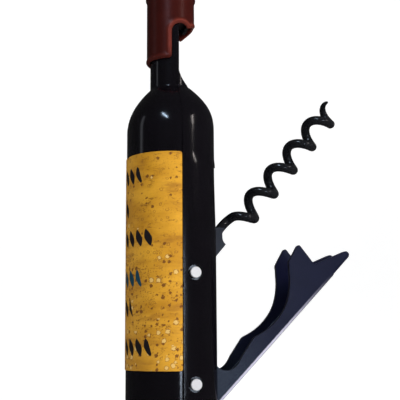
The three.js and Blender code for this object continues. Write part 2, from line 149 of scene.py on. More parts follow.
# ---- the camera, at the photograph's viewing angle ----

CAMERA_PLACE = (-0.0438, -0.2032, 0.0209)
CAMERA_HEADING = math.radians(13.98)
CAMERA_PITCH = math.radians(8.44)
CAMERA_ROLL = math.radians(-0.35)
CAMERA_LENS = 68.16
CAMERA_SHIFT = (0.0135, 0.0583)


def add_camera():
    heading, pitch, roll = CAMERA_HEADING, CAMERA_PITCH, CAMERA_ROLL
    ahead = Vector((
        math.sin(heading) * math.cos(pitch),
        math.cos(heading) * math.cos(pitch),
        math.sin(pitch),
    ))
    right = Vector((math.cos(heading), -math.sin(heading), 0))
    up = right.cross(ahead)
    right, up = (
        right * math.cos(roll) + up * math.sin(roll),
        up * math.cos(roll) - right * math.sin(roll),
    )
    turn = Matrix((right, up, -ahead)).transposed()
    data = bpy.data.cameras.new("camera")
    data.lens = CAMERA_LENS
    data.sensor_width = 36
    data.shift_x, data.shift_y = CAMERA_SHIFT
    data.clip_start = 0.01
    camera = bpy.data.objects.new("camera", data)
    camera.matrix_world = Matrix.Translation(CAMERA_PLACE) @ turn.to_4x4()
    bpy.context.scene.collection.objects.link(camera)
    bpy.context.scene.camera = camera


# ---- node helpers ----


class Nodes:
    """Short calls for building one node tree."""

    def __init__(self, tree):
        self.tree = tree

    def add(self, kind, inputs=None, **settings):
        node = self.tree.nodes.new(kind)
        for key, value in settings.items():
            setattr(node, key, value)
        for key, value in (inputs or {}).items():
            self.put(node.inputs[key], value)
        return node

    def put(self, socket, value):
        if isinstance(value, bpy.types.NodeSocket):
            self.tree.links.new(value, socket)
        else:
            socket.default_value = value

    def lerp(self, factor, a, b):
        """Blends two numbers: a where factor is 0, b where it is 1."""
        node = self.add("ShaderNodeMix", {0: factor, 2: a, 3: b}, data_type="FLOAT")
        return node.outputs[0]

    def math(self, operation, a, b=0.0, c=0.0):
        return self.add("ShaderNodeMath", {0: a, 1: b, 2: c}, operation=operation).outputs[0]

    def product(self, first, *others):
        for other in others:
            first = self.math("MULTIPLY", first, other)
        return first

    def line(self, value, slope, start):
        return self.math("MULTIPLY_ADD", value, slope, start)

    def step(self, value, low, high):
        """0 below low, 1 above high, smooth between; low may be the larger one."""
        node = self.add(
            "ShaderNodeMapRange",
            {"Value": value, "From Min": low, "From Max": high},
            interpolation_type="SMOOTHSTEP",
        )
        return node.outputs["Result"]

    def mix(self, amount, a, b):
        """Blends two colours."""
        node = self.add("ShaderNodeMix", {0: amount, 6: a, 7: b}, data_type="RGBA")
        return node.outputs[2]

    def noise(self, vector, scale, detail=3.0, rough=0.5):
        node = self.add(
            "ShaderNodeTexNoise",
            {"Vector": vector, "Scale": scale, "Detail": detail, "Roughness": rough},
        )
        return node.outputs[0]

    def place_mm(self):
        """Position in millimetres, from the mesh's own coordinates."""
        coords = self.add("ShaderNodeTexCoord").outputs["Object"]
        node = self.add("ShaderNodeVectorMath", {0: coords, 3: 1 / MM}, operation="SCALE")
        return node.outputs[0]

    def bump(self, height, distance_mm):
        node = self.add("ShaderNodeBump", {"Height": height, "Distance": distance_mm * MM})
        return node.outputs[0]


def new_material(name, build):
    """A Principled material; build gets the helpers and the shader node."""
    material = bpy.data.materials.new(name)
    material.use_nodes = True
    tree = material.node_tree
    shader = tree.nodes["Principled BSDF"]
    build(Nodes(tree), shader)
    return material


def rgba(red, green, blue):
    return (red, green, blue, 1.0)


# ---- materials ----


def surface(n, shader, colour, rough=None, height=None, constants=()):
    """Fills in a shader: a colour, a roughness, a bump as (height, millimetres), and numbers."""
    n.put(shader.inputs["Base Color"], colour)
    if rough is not None:
        n.put(shader.inputs["Roughness"], rough)
    if height is not None:
        n.put(shader.inputs["Normal"], n.bump(*height))
    for name, value in dict(constants).items():
        shader.inputs[name].default_value = value


def gloss_black(n, shader):
    """Polished black moulding: a faint flow pattern and fine handling marks."""
    place = n.place_mm()
    flow = n.noise(place, 0.12, 2.0)
    marks = n.noise(place, 1.6, 6.0, 0.65)
    surface(n, shader, n.mix(flow, rgba(0.0018, 0.0014, 0.0022), rgba(0.0034, 0.0028, 0.0042)),
            n.line(marks, 0.10, 0.09), (n.noise(place, 0.55, 2.0), 0.012),
            {"IOR": 1.5, "Specular IOR Level": 0.5})


def capsule_red(n, shader):
    """Dark red satin plastic, slightly mottled, with a painted highlight in brighter red along its
    rolled edge.
    """
    place = n.place_mm()
    mottle = n.noise(place, 0.35, 4.0, 0.6)
    body = n.mix(mottle, rgba(0.032, 0.0034, 0.0022), rgba(0.050, 0.0050, 0.0030))
    # painted highlight: the 'rim' weights made in capsule() blend in a brighter red along the
    # rolled edge
    edge = n.add("ShaderNodeAttribute", attribute_name="rim").outputs["Fac"]
    rim = n.product(edge, n.line(mottle, 0.6, 0.5))
    surface(n, shader, n.mix(rim, body, rgba(0.165, 0.027, 0.017)),
            n.line(n.noise(place, 2.2, 5.0, 0.6), 0.16, 0.28), (n.noise(place, 1.1, 3.0), 0.02),
            {"Metallic": 0.25, "Specular IOR Level": 0.25,
             "Coat Weight": 0.04, "Coat Roughness": 0.12})


def lever_place(n):
    """The lever's own coordinates in millimetres: along it, and up its sides from the pin."""
    x, _, z = n.add("ShaderNodeSeparateXYZ", {0: n.place_mm()}).outputs
    x = n.math("SUBTRACT", x, float(LEVER_PIN[0]))
    z = n.math("SUBTRACT", z, float(LEVER_PIN[2]))
    cos, sin = math.cos(LEVER_ANGLE), math.sin(LEVER_ANGLE)
    return (n.math("ADD", n.product(x, cos), n.product(z, sin)),
            n.math("SUBTRACT", n.product(z, cos), n.product(x, sin)))


def lever_paint(n, shader):
    """Satin navy paint on the pressed lever, with a painted highlight along both bends and a
    painted sheen near the pin.
    """
    place = n.place_mm()
    along, up = lever_place(n)
    # painted highlight: a pale lavender band across both bends, full up to 20 mm from the pin and
    # gone by 52 mm
    under = n.math("DIVIDE", n.math("SUBTRACT", WEB_Q + BEND_R, up), BEND_R)
    bend = n.math("ADD", under, n.line(n.noise(place, 1.4, 4.0, 0.6), 0.2, -0.1))
    painted_bend_highlight = n.product(n.step(bend, 0.12, 0.30), n.step(bend, 0.92, 0.74), n.step(along, 52.0, 20.0))
    patches = n.noise(place, 0.22, 4.0, 0.6)
    speckle = n.noise(place, 5.0, 3.0, 0.7)
    paint = n.mix(patches, rgba(0.0026, 0.0034, 0.0150), rgba(0.0050, 0.0064, 0.0300))
    # painted sheen: pale blue-grey speckles on the paint near the pin, full within 6 mm and gone by
    # 26 mm
    painted_pin_sheen = n.product(n.step(along, 26.0, 6.0), n.step(speckle, 0.34, 0.72))
    paint = n.mix(painted_pin_sheen, paint, rgba(0.030, 0.044, 0.062))
    # the pale lavender colour here is the painted bend highlight
    surface(n, shader, n.mix(painted_bend_highlight, paint, rgba(0.44, 0.42, 0.52)), n.line(patches, 0.16, 0.30),
            (n.noise(place, 7.0, 4.0, 0.6), 0.010),
            {"Metallic": 0.1, "Coat Weight": 0.2, "Coat Roughness": 0.25})


def hub_paint(n, shader):
    """The same navy paint on the worm's hub, without the lever's painted bend highlight and painted
    sheen.
    """
    place = n.place_mm()
    patches = n.noise(place, 0.4, 4.0, 0.6)
    speckle = n.step(n.noise(place, 5.0, 3.0, 0.7), 0.5, 0.8)
    paint = n.mix(patches, rgba(0.0065, 0.0070, 0.0120), rgba(0.0120, 0.0130, 0.0230))
    surface(n, shader, n.mix(n.product(speckle, 0.5), paint, rgba(0.05, 0.05, 0.07)),
            n.line(patches, 0.16, 0.30), (n.noise(place, 7.0, 4.0, 0.6), 0.010),
            {"Metallic": 0.15, "Coat Weight": 0.35, "Coat Roughness": 0.22})


def coated_wire(n, shader):
    """Slick black coating on the worm."""
    place = n.place_mm()
    marks = n.noise(place, 1.5, 5.0, 0.6)
    surface(n, shader, n.mix(marks, rgba(0.0035, 0.0035, 0.0042), rgba(0.009, 0.009, 0.011)),
            n.line(marks, 0.12, 0.10), (n.noise(place, 2.5, 2.0), 0.015),
            {"Coat Weight": 0.4, "Coat Roughness": 0.08})


def rivet_metal(n, shader):
    """Pale matte aluminium with faint tool marks."""
    speckle = n.noise(n.place_mm(), 3.0, 5.0, 0.7)
    surface(n, shader, n.mix(speckle, rgba(0.62, 0.60, 0.60), rgba(0.78, 0.76, 0.76)),
            n.line(speckle, 0.2, 0.35), (speckle, 0.012), {"Metallic": 0.35})


def bright_steel(n, shader):
    """Rolled steel with a grain along Z."""
    stretch = n.add("ShaderNodeVectorMath", {0: n.place_mm(), 1: (6.0, 6.0, 0.6)},
                    operation="MULTIPLY").outputs[0]
    grain = n.noise(stretch, 1.0, 4.0, 0.6)
    surface(n, shader, n.mix(grain, rgba(0.42, 0.43, 0.45), rgba(0.62, 0.62, 0.63)),
            n.line(grain, 0.16, 0.24), (grain, 0.006), {"Metallic": 1.0})


def blackened_steel(n, shader):
    """Blackened strip: cloudy dark brown-grey with a fine grain."""
    place = n.place_mm()
    cloud = n.noise(place, 0.8, 4.0, 0.6)
    grain = n.noise(place, 6.0, 4.0, 0.6)
    surface(n, shader, n.mix(cloud, rgba(0.017, 0.013, 0.014), rgba(0.036, 0.028, 0.030)),
            n.line(grain, 0.2, 0.38), (grain, 0.01), {"Metallic": 0.5})


def nylon(n, shader):
    """Natural nylon, slightly cloudy."""
    cloud = n.noise(n.place_mm(), 0.9, 3.0)
    surface(n, shader, n.mix(cloud, rgba(0.62, 0.58, 0.49), rgba(0.75, 0.72, 0.63)),
            n.line(cloud, 0.1, 0.42), None,
            {"Subsurface Weight": 0.08, "Subsurface Radius": (0.001, 0.0008, 0.0006)})


def paper_edge(n, shader):
    """The label's pale cut edge."""
    fibre = n.noise(n.place_mm(), 5.0, 3.0)
    surface(n, shader, n.mix(fibre, rgba(0.78, 0.62, 0.36), rgba(0.90, 0.80, 0.58)),
            constants={"Roughness": 0.6})


CORK_GOLD = (rgba(0.41, 0.178, 0.0055), rgba(0.585, 0.288, 0.018))
CORK_SMUDGE = rgba(0.26, 0.100, 0.008)
CORK_FINE = rgba(0.44, 0.205, 0.018)
CORK_CRACK = rgba(0.17, 0.060, 0.006)
CORK_PORE = rgba(0.125, 0.036, 0.005)
CORK_SPECK = rgba(0.145, 0.046, 0.006)
CORK_RING = rgba(0.20, 0.075, 0.009)
CORK_RIM = rgba(0.19, 0.070, 0.009)
CORK_DROP = rgba(0.66, 0.42, 0.12)


class Print:
    """The label laid flat: across it in millimetres, and up it."""

    def __init__(self, n):
        self.n = n
        x, y, self.z = n.add("ShaderNodeSeparateXYZ", {0: n.place_mm()}).outputs
        self.angle = n.math("ARCTAN2", y, n.product(x, -1.0))
        self.around = n.product(self.angle, BODY_R)
        self.flat = self.vector(self.around, self.z, 0.0)

    def vector(self, x, y, z):
        return self.n.add("ShaderNodeCombineXYZ", {0: x, 1: y, 2: z}).outputs[0]

    def stretched(self, across, up, shift=0.0):
        """The flat place, scaled each way and shifted to another part of a noise."""
        x = self.n.line(self.around, across, shift)
        return self.vector(x, self.n.product(self.z, up), shift)

    def cracks(self, across, up, shift, width):
        """Thin lines where a noise crosses its middle."""
        n = self.n
        field = n.noise(self.stretched(across, up, shift), 1.0, 5.0, 0.6)
        return n.step(n.math("ABSOLUTE", n.math("SUBTRACT", field, 0.5)), width, width * 0.25)

    def spots(self, scale, shift, chance, size):
        """Distance to random dots in their own radii, and which of them are chosen."""
        n = self.n
        wobble = n.noise(self.flat, 1.9, 4.0, 0.65)
        bend = self.vector(n.product(wobble, 1.3), n.product(wobble, -1.0), 0.0)
        moved = self.flat
        for offset in (bend, (shift, shift * 1.7, 0.0)):
            moved = n.add("ShaderNodeVectorMath", {0: moved, 1: offset},
                          operation="ADD").outputs[0]
        cells = n.add("ShaderNodeTexVoronoi",
                      {"Vector": moved, "Scale": scale, "Randomness": 0.95},
                      voronoi_dimensions="2D")
        red, green, _ = n.add("ShaderNodeSeparateColor", {0: cells.outputs["Color"]}).outputs
        radius = n.line(green, size, size * 0.45)
        distance = n.math("DIVIDE", cells.outputs["Distance"], scale)
        return n.math("DIVIDE", distance, radius), n.math("LESS_THAN", red, chance)


def cork_ground(n, sheet, fine):
    """Ochre ground with brown clouds, a fine grain and hairline cracks."""
    clouds = n.noise(sheet.stretched(0.07, 0.16), 1.0, 4.0, 0.55)
    ground = n.mix(n.step(clouds, 0.30, 0.68), *CORK_GOLD)
    smudge = n.noise(sheet.stretched(0.10, 0.34, 7.0), 1.0, 5.0, 0.6)
    ground = n.mix(n.product(n.step(smudge, 0.50, 0.70), 0.70), ground, CORK_SMUDGE)
    ground = n.mix(n.product(n.step(fine, 0.42, 0.72), 0.42), ground, CORK_FINE)
    hair = sheet.cracks(0.09, 0.34, 11.0, 0.011)
    broken = n.step(n.noise(sheet.stretched(0.25, 0.25, 19.0), 1.0, 2.0), 0.48, 0.60)
    return n.mix(n.product(hair, broken, 0.9), ground, CORK_CRACK)


def cork_print(n, shader):
    """Printed cork: a clouded ground with pores, specks, rings and, low down, pale drops."""
    sheet = Print(n)
    fine = n.noise(sheet.stretched(1.2, 2.4, 3.0), 1.0, 4.0, 0.65)
    ground = cork_ground(n, sheet, fine)
    low = n.step(sheet.z, 46.0, 34.0)
    crowd = n.product(n.step(n.noise(sheet.stretched(0.09, 0.11, 5.0), 1.0, 2.0), 0.36, 0.56),
                      n.line(low, 0.65, 0.35))

    near, chosen = sheet.spots(0.62, 3.1, n.line(low, 0.28, 0.14), 0.40)
    pore = n.product(n.step(near, 1.05, 0.70), chosen)
    ground = n.mix(n.product(pore, 0.88), ground, CORK_PORE)

    near, chosen = sheet.spots(1.3, 9.4, 0.55, 0.17)
    ground = n.mix(n.product(n.step(near, 1.1, 0.6), chosen, crowd, 0.85), ground, CORK_SPECK)

    near, chosen = sheet.spots(0.55, 33.9, n.line(low, -0.22, 0.40), 0.30)
    ring = n.product(n.step(near, 1.25, 1.05), n.step(near, 0.62, 0.85))
    ground = n.mix(n.product(ring, chosen, 0.75), ground, CORK_RING)

    foot = n.line(n.step(sheet.z, 26.0, 19.0), 0.50, 0.07)
    near, chosen = sheet.spots(0.46, 21.7, foot, 0.46)
    ground = n.mix(n.product(n.step(near, 1.25, 1.08), chosen, 0.70), ground, CORK_RIM)
    ground = n.mix(n.product(n.step(near, 0.98, 0.76), chosen, 0.85), ground, CORK_DROP)

    relief = n.math("SUBTRACT", n.product(fine, 0.3), n.product(pore, 0.4))
    surface(n, shader, ornament(n, sheet, ground), n.line(fine, 0.2, 0.34), (relief, 0.02),
            {"Specular IOR Level": 0.25})


# height, reach either side of the middle, and tone of each row of marks
ORNAMENT_ROWS = ((63.5, 8.0, 0), (54.7, 3.3, 0), (46.5, 12.2, 0), (35.9, 8.0, 1), (28.2, 4.6, 0),
                 (18.0, 11.1, 0))
ORNAMENT_PITCH = 3.0
MARK_HALF_HEIGHT = 2.3
MARK_HALF_WIDTH = 1.15
MARK_SLANT = 0.32


def ornament(n, sheet, ground):
    """Plain slanted lozenges in rows across the label's front, one row in dark teal."""
    ink = (rgba(0.010, 0.007, 0.008), rgba(0.003, 0.042, 0.066))
    for height, reach, tone in ORNAMENT_ROWS:
        above = n.math("SUBTRACT", sheet.z, height)
        slanted = n.math("SUBTRACT", sheet.around, n.product(above, MARK_SLANT))
        inside = n.step(n.math("ABSOLUTE", slanted), reach, reach - 0.05)
        cell = n.math("PINGPONG", slanted, ORNAMENT_PITCH / 2)
        across = n.math("DIVIDE", n.math("SUBTRACT", ORNAMENT_PITCH / 2, cell), MARK_HALF_WIDTH)
        up = n.math("DIVIDE", n.math("ABSOLUTE", above), MARK_HALF_HEIGHT)
        shape = n.math("ADD", n.math("POWER", across, 1.4), n.math("POWER", up, 1.4))
        mark = n.product(n.step(shape, 1.03, 0.93), inside)
        ground = n.mix(mark, ground, ink[tone])
    return ground


LOOKS = {slot: new_material(slot, build) for slot, build in (
    ("shell_black", gloss_black),
    ("capsule_red", capsule_red),
    ("cork_print", cork_print),
    ("painted_steel", lever_paint),
    ("coated_wire", coated_wire),
    ("rivet_metal", rivet_metal),
    ("bright_steel", bright_steel),
    ("blackened_steel", blackened_steel),
    ("nylon", nylon),
)}
LABEL_EDGE = new_material("label_edge", paper_edge)
HUB_PAINT = new_material("hub_paint", hub_paint)


# ---- mesh helpers, all in millimetres ----


def make(name, verts, faces):
    mesh = bpy.data.meshes.new(name)
    mesh.from_pydata([tuple(v) for v in verts], [], faces)
    mesh.validate()
    piece = bpy.data.objects.new(name, mesh)
    bpy.context.scene.collection.objects.link(piece)
    return piece


def bake(piece):
    """Replaces a piece's mesh by its modifiers' result."""
    graph = bpy.context.evaluated_depsgraph_get()
    made = bpy.data.meshes.new_from_object(piece.evaluated_get(graph))
    old = piece.data
    piece.modifiers.clear()
    piece.data = made
    bpy.data.meshes.remove(old)
    return piece


def combine(piece, other, operation):
    mod = piece.modifiers.new("combine", "BOOLEAN")
    mod.operation = operation
    mod.object = other
    mod.solver = "EXACT"
    bake(piece)
    data = other.data
    bpy.data.objects.remove(other)
    bpy.data.meshes.remove(data)
    return piece


def cut(piece, cutter):
    return combine(piece, cutter, "DIFFERENCE")


def soften(piece, width, segments=3, angle=32):
    """Rounds every edge that is sharper than angle degrees."""
    mod = piece.modifiers.new("soften", "BEVEL")
    mod.width = width
    mod.segments = segments
    mod.limit_method = "ANGLE"
    mod.angle_limit = math.radians(angle)
    mod.miter_outer = "MITER_ARC"
    return bake(piece)


def smooth(piece, angle=32, weighted=True):
    mesh = piece.data
    mesh.shade_smooth()
    mesh.set_sharp_from_angle(angle=math.radians(angle))
    if weighted:
        mod = piece.modifiers.new("normals", "WEIGHTED_NORMAL")
        mod.keep_sharp = True
        mod.weight = 80
        bake(piece)
    return piece


def rounded(piece, width, segments=3):
    """A metal part's finish: rounded edges, then smooth shading."""
    return smooth(soften(piece, width, segments, 35), 40)


def read(items, attribute, width=1):
    """One attribute of many mesh items as an array: whole numbers, or rows of width numbers."""
    if width == 1:
        values = np.empty(len(items), dtype=np.int32)
    else:
        values = np.empty(len(items) * width)
    items.foreach_get(attribute, values)
    return values if width == 1 else values.reshape(-1, width)


def exact_normals(piece, shape, reach=0.004, bend=20):
    """Sets the true normal wherever a corner lies on a known surface.

    shape maps points to their signed distance and outward normal.
    """
    mesh = piece.data
    corners = read(mesh.loops, "vertex_index")
    normals = read(mesh.corner_normals, "vector", 3)
    sizes = read(mesh.polygons, "loop_total")
    face_normals = np.repeat(read(mesh.polygons, "normal", 3), sizes, axis=0)
    distance, truth = shape(read(mesh.vertices, "co", 3))
    fits = np.abs(distance[corners]) < reach
    fits &= (face_normals * truth[corners]).sum(1) > math.cos(math.radians(bend))
    normals[fits] = truth[corners][fits]
    mesh.normals_split_custom_set(normals.tolist())
    return piece


def place(piece, body, node, look, turn=Matrix()):
    """Scales a finished piece to metres, dresses it and puts it on its body."""
    piece.data.transform(Matrix.Scale(MM, 4) @ turn)
    piece.data.materials.clear()
    piece.data.materials.append(LOOKS[look])
    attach(piece, body)
    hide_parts(node)
    return piece


def ring_faces(rows, columns):
    """Quads over a grid of rows, each row a closed ring of columns."""
    faces = []
    for i in range(rows - 1):
        for j in range(columns):
            a = i * columns + j
            b = i * columns + (j + 1) % columns
            faces.append((a, b, b + columns, a + columns))
    return faces


def loft(name, sections):
    """A closed solid through sections of equal length, each a ring of 3D points."""
    count = len(sections[0])
    verts = [p for section in sections for p in section]
    faces = ring_faces(len(sections), count)
    top = (len(sections) - 1) * count
    faces += [tuple(range(count - 1, -1, -1)), tuple(range(top, top + count))]
    return make(name, verts, faces)


def turned(name, profile, segments=64):
    """A solid of revolution about Z from an outline of [radius, z], upward on the outside.

    An outline that closes on itself away from the axis makes a ring.
    """
    verts, rings = [], []
    for r, z in profile:
        if r < 1e-9:
            rings.append([len(verts)])
            verts.append((0, 0, z))
            continue
        rings.append(list(range(len(verts), len(verts) + segments)))
        for j in range(segments):
            a = 2 * math.pi * j / segments
            verts.append((r * math.cos(a), r * math.sin(a), z))
    faces = []
    pairs = list(zip(rings, rings[1:]))
    if len(rings[0]) > 1:
        pairs.append((rings[-1], rings[0]))
    for low, high in pairs:
        for j in range(segments):
            k = (j + 1) % segments
            if len(low) == 1 and len(high) == 1:
                break
            if len(low) == 1:
                faces.append((low[0], high[k], high[j]))
            elif len(high) == 1:
                faces.append((low[j], low[k], high[0]))
            else:
                faces.append((low[j], low[k], high[k], high[j]))
    return make(name, verts, faces)


def extruded(name, verts):
    """A solid between two equal outlines, given one after the other."""
    count = len(verts) // 2
    faces = [tuple(range(count)), tuple(range(2 * count - 1, count - 1, -1))]
    for j in range(count):
        k = (j + 1) % count
        faces.append((j, j + count, k + count, k))
    return make(name, verts, faces)


def prism(name, outline, low, high):
    """An outline of (x, z), anticlockwise seen from -Y, carried from y = low to y = high."""
    return extruded(name, [(x, y, z) for y in (low, high) for x, z in outline])


def block(name, low, high):
    (x0, y0, z0), (x1, y1, z1) = low, high
    return prism(name, [(x0, z0), (x1, z0), (x1, z1), (x0, z1)], y0, y1)


def arc(cx, cz, radius, start, end, steps):
    """Points on an arc, angles in degrees."""
    angles = np.radians(np.linspace(start, end, steps + 1))
    return [(cx + radius * math.cos(a), cz + radius * math.sin(a)) for a in angles]


def bezier(*points, steps=8):
    """Points after the first on a quadratic or cubic curve."""
    out = []
    for i in range(1, steps + 1):
        t = i / steps
        level = [np.array(p, dtype=float) for p in points]
        while len(level) > 1:
            level = [a * (1 - t) + b * t for a, b in zip(level, level[1:])]
        out.append(tuple(level[0]))
    return out


def trace(*moves):
    """Corners, and curves from the corner before them as (steps, bend points..., end)."""
    points = []
    for move in moves:
        if len(move) == 2:
            points.append(move)
        else:
            points += bezier(points[-1], *move[1:], steps=move[0])
    return points


def along_y(piece, x=0.0, z=0.0):
    """Turns a piece made about Z so that its axis runs along Y through (x, z)."""
    piece.data.transform(Matrix.Translation((x, 0, z)) @ Matrix.Rotation(math.radians(-90), 4, "X"))
    return piece


def along_x(piece, z=0.0):
    piece.data.transform(Matrix.Translation((0, 0, z)) @ Matrix.Rotation(math.radians(90), 4, "Y"))
    return piece


def pin_bore(reach, segments, x=0.0, z=0.0):
    """A cutter for a pin's running hole, from y = -reach to y = reach."""
    outline = [(0, -reach), (PIN_HOLE_R, -reach), (PIN_HOLE_R, reach), (0, reach)]
    return along_y(turned("pin_hole", outline, segments), x, z)


# ---- bottle outline ----


def bottle_radius(z, shoulder=FRONT_SHOULDER):
    """Outside radius at height z, with the crease at the neck slightly filled."""
    z = np.asarray(z, dtype=float)
    low, high = shoulder
    t = np.clip((z - low) / (high - low), 0, 1.3)
    dome = BODY_R - (BODY_R - NECK_R) * t * t
    over = (dome - NECK_R) / NECK_BLEND
    radius = NECK_R + NECK_BLEND * np.logaddexp(0, over)
    below = np.clip(BASE_ROUND - z, 0, BASE_ROUND)
    return radius - BASE_ROUND + np.sqrt(BASE_ROUND**2 - below**2)


def section_power(z):
    """Superellipse exponent of the rear shell's section, eased between its heights."""
    heights, powers = np.array(REAR_FULLNESS).T
    z = np.clip(z, heights[0], heights[-1])
    i = np.clip(np.searchsorted(heights, z, side="right") - 1, 0, len(heights) - 2)
    t = (z - heights[i]) / (heights[i + 1] - heights[i])
    return powers[i] + (powers[i + 1] - powers[i]) * t * t * (3 - 2 * t)


def rear_radius(cos, sin, z):
    """Outside radius of the rear shell: fuller than round, with a higher shoulder."""
    power = section_power(z)
    total = np.maximum(np.maximum(cos, 0) ** power + np.abs(sin) ** power, 1e-9)
    front, rear = bottle_radius(z), bottle_radius(z, REAR_SHOULDER)
    turn = np.clip(cos / 0.9, 0, 1)
    return (front + (rear - front) * turn * turn * (3 - 2 * turn)) * total ** (-1 / power)


def bottle_distance(points):
    x, y, z = points.T
    r = np.maximum(np.hypot(x, y), 1e-9)
    rear = (x > PARTING_X) & (z < REAR_TOP_Z)
    return r - np.where(rear, rear_radius(x / r, y / r, z), bottle_radius(z))


def bottle_surface(points):
    """Signed distance and normal of the bottle's outside, at any set of points."""
    step = 1e-4
    slopes = []
    for axis in range(3):
        shift = np.zeros(3)
        shift[axis] = step
        slopes.append(bottle_distance(points + shift) - bottle_distance(points - shift))
    normal = np.stack(slopes, 1)
    normal /= np.maximum(np.linalg.norm(normal, axis=1, keepdims=True), 1e-12)
    return bottle_distance(points), normal


BOTTLE_ROWS = sorted(set(
    [round(BASE_ROUND * (1 - math.cos(math.radians(a))), 4) for a in range(0, 91, 9)]
    + [float(z) for z in range(3, 64, 3)]
    + [float(z) for z in range(64, 77)]
    + list(np.round(np.linspace(FRONT_SHOULDER[0], 88.8, 40), 4))
    + list(np.round(np.linspace(88.8, 90.4, 17), 4))
    + [91.5, 92.5, 93.4]
))


def rows_between(low, high, extra=()):
    inside = [z for z in BOTTLE_ROWS if low < z < high]
    return sorted({low, high, *inside, *extra})


# ---- shells ----

OUTER_STEPS = 96
CORNER = 0.16
COVER_CHANNEL_Z = (1.75, CHANNEL_Z[1] + 0.2)
BASE_CUT = (6, 9.5)
SLIT_GAP = 0.15
SLIT_HEIGHT = 0.6


def round_corner(before, corner, after, steps=3):
    """The inner points of a rounded corner."""
    return bezier(before, corner, after, steps=steps)[:-1]


def front_section(z, channel):
    """The front shell's section at height z: an arc closed by the parting face."""
    r = float(bottle_radius(z))
    face = PARTING_X - PARTING_GAP / 2
    edge = math.sqrt(r * r - face * face)
    start = math.atan2(edge, face) + CORNER / r
    angles = np.linspace(start, 2 * math.pi - start, OUTER_STEPS)
    arc_points = [(r * math.cos(a), r * math.sin(a)) for a in angles]
    low = round_corner(arc_points[-1], (face, -edge), (face, -edge + CORNER))
    high = round_corner((face, edge - CORNER), (face, edge), arc_points[0])
    if channel:
        deep = SLOT_FLOOR_X - CHANNEL_WALL - 0.2
        wide = SLOT_HALF_Y + CHANNEL_WALL + 0.2
    else:
        deep = face
        wide = edge * 0.6
    reach = wide if channel else wide * 0.5
    inner = [(face, -edge + CORNER), (face, -wide), (deep, -reach),
             (deep, reach), (face, wide), (face, edge - CORNER)]
    return [(x, y, z) for x, y in arc_points + low + inner + high]


SCREW_Z = [float((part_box(f"shell_screw_{i}")[0][2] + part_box(f"shell_screw_{i}")[1][2]) / 2 / MM)
           for i in (1, 2)]
# stepped bore for a screw, as (radius, x): its head, its shank, and the boss it meets
SCREW_BORE = [(0, -13), (2.45, -13), (2.45, -10.5), (1.5, -10.5), (1.5, -8.1), (2.95, -8.1),
              (2.95, -3), (0, -3)]
BOSS_OUTLINE = [(0, -8), (2.8, -8), (2.8, -3), (0, -3)]
BOSS_HOLE = [(0, -9), (1.3, -9), (1.3, -2.4), (0, -2.4)]
POCKET_HALF_Y = 3.05
POCKET_TOP_Z = 110.75
LEG_SLOT_X = (-2.1, 1.3)
LEG_SLOT_Z = 105.0
CLEAR = 14


def notch_edge():
    """The notch's edge seen along Y: up the cut, over the arch, round the hook's point, out."""
    left, roof = CAPSULE_CUT_X, NOTCH_ROOF_Z
    start, crown, fang = (left, roof - 2.6), (1.9, roof), (3.95, roof - 1.15)
    edge = [start]
    edge += bezier(start, (left, roof - 0.9), (0.6, roof), crown, steps=10)
    edge += bezier(crown, (2.9, roof), (3.6, roof - 0.5), fang, steps=8)
    edge += bezier((4.3, roof - 0.9), (5.0, roof - 0.35), (5.6, roof + 0.15), (7.8, roof + 1.1),
                   steps=12)
    return edge


def front_shell():
    """The front half with the whole neck: the neck's core runs up inside the capsule."""
    heights = (0.0, *COVER_CHANNEL_Z, REAR_TOP_Z)
    sections = []
    for low, high, channel in zip(heights, heights[1:], (False, True, False)):
        sections += [front_section(z, channel) for z in rows_between(low, high)]
    shell = loft("front_shell_cover", sections)
    for z in SCREW_Z:
        cut(shell, along_x(turned("screw_bore", SCREW_BORE, 32), z))
    neck = turned("neck_core", [(0, REAR_TOP_Z - 0.2), (NECK_R, REAR_TOP_Z - 0.2),
                                (NECK_R, 100.0), (NECK_R, CORE_TOP), (0, CORE_TOP)], 144)
    cuts = (
        ((NECK_FLAT_X, -CLEAR, REAR_TOP_Z), (CLEAR, CLEAR, CORE_NOTCH_TOP_Z)),
        ((NECK_FLAT_X, -POCKET_HALF_Y, REAR_TOP_Z), (CLEAR, POCKET_HALF_Y, POCKET_TOP_Z)),
        ((LEG_SLOT_X[0], -POCKET_HALF_Y, LEG_SLOT_Z), (LEG_SLOT_X[1], POCKET_HALF_Y, POCKET_TOP_Z)),
        ((-CLEAR, -CLEAR, REAR_TOP_Z - 1), (CLEAR, CLEAR, REAR_TOP_Z)),
    )
    for low, high in cuts:
        cut(neck, block("cut", low, high))
    soften(neck, 0.12, 2, 40)
    smooth(neck, 34)
    smooth(shell, 30, weighted=False)
    exact_normals(shell, bottle_surface)
    exact_normals(neck, bottle_surface)
    return join("front_shell_cover", shell, neck)


def join(name, *pieces):
    """One object holding several pieces' meshes, with their own normals kept."""
    with bpy.context.temp_override(active_object=pieces[0], object=pieces[0],
                                   selected_editable_objects=list(pieces)):
        bpy.ops.object.join()
    pieces[0].name = name
    return pieces[0]


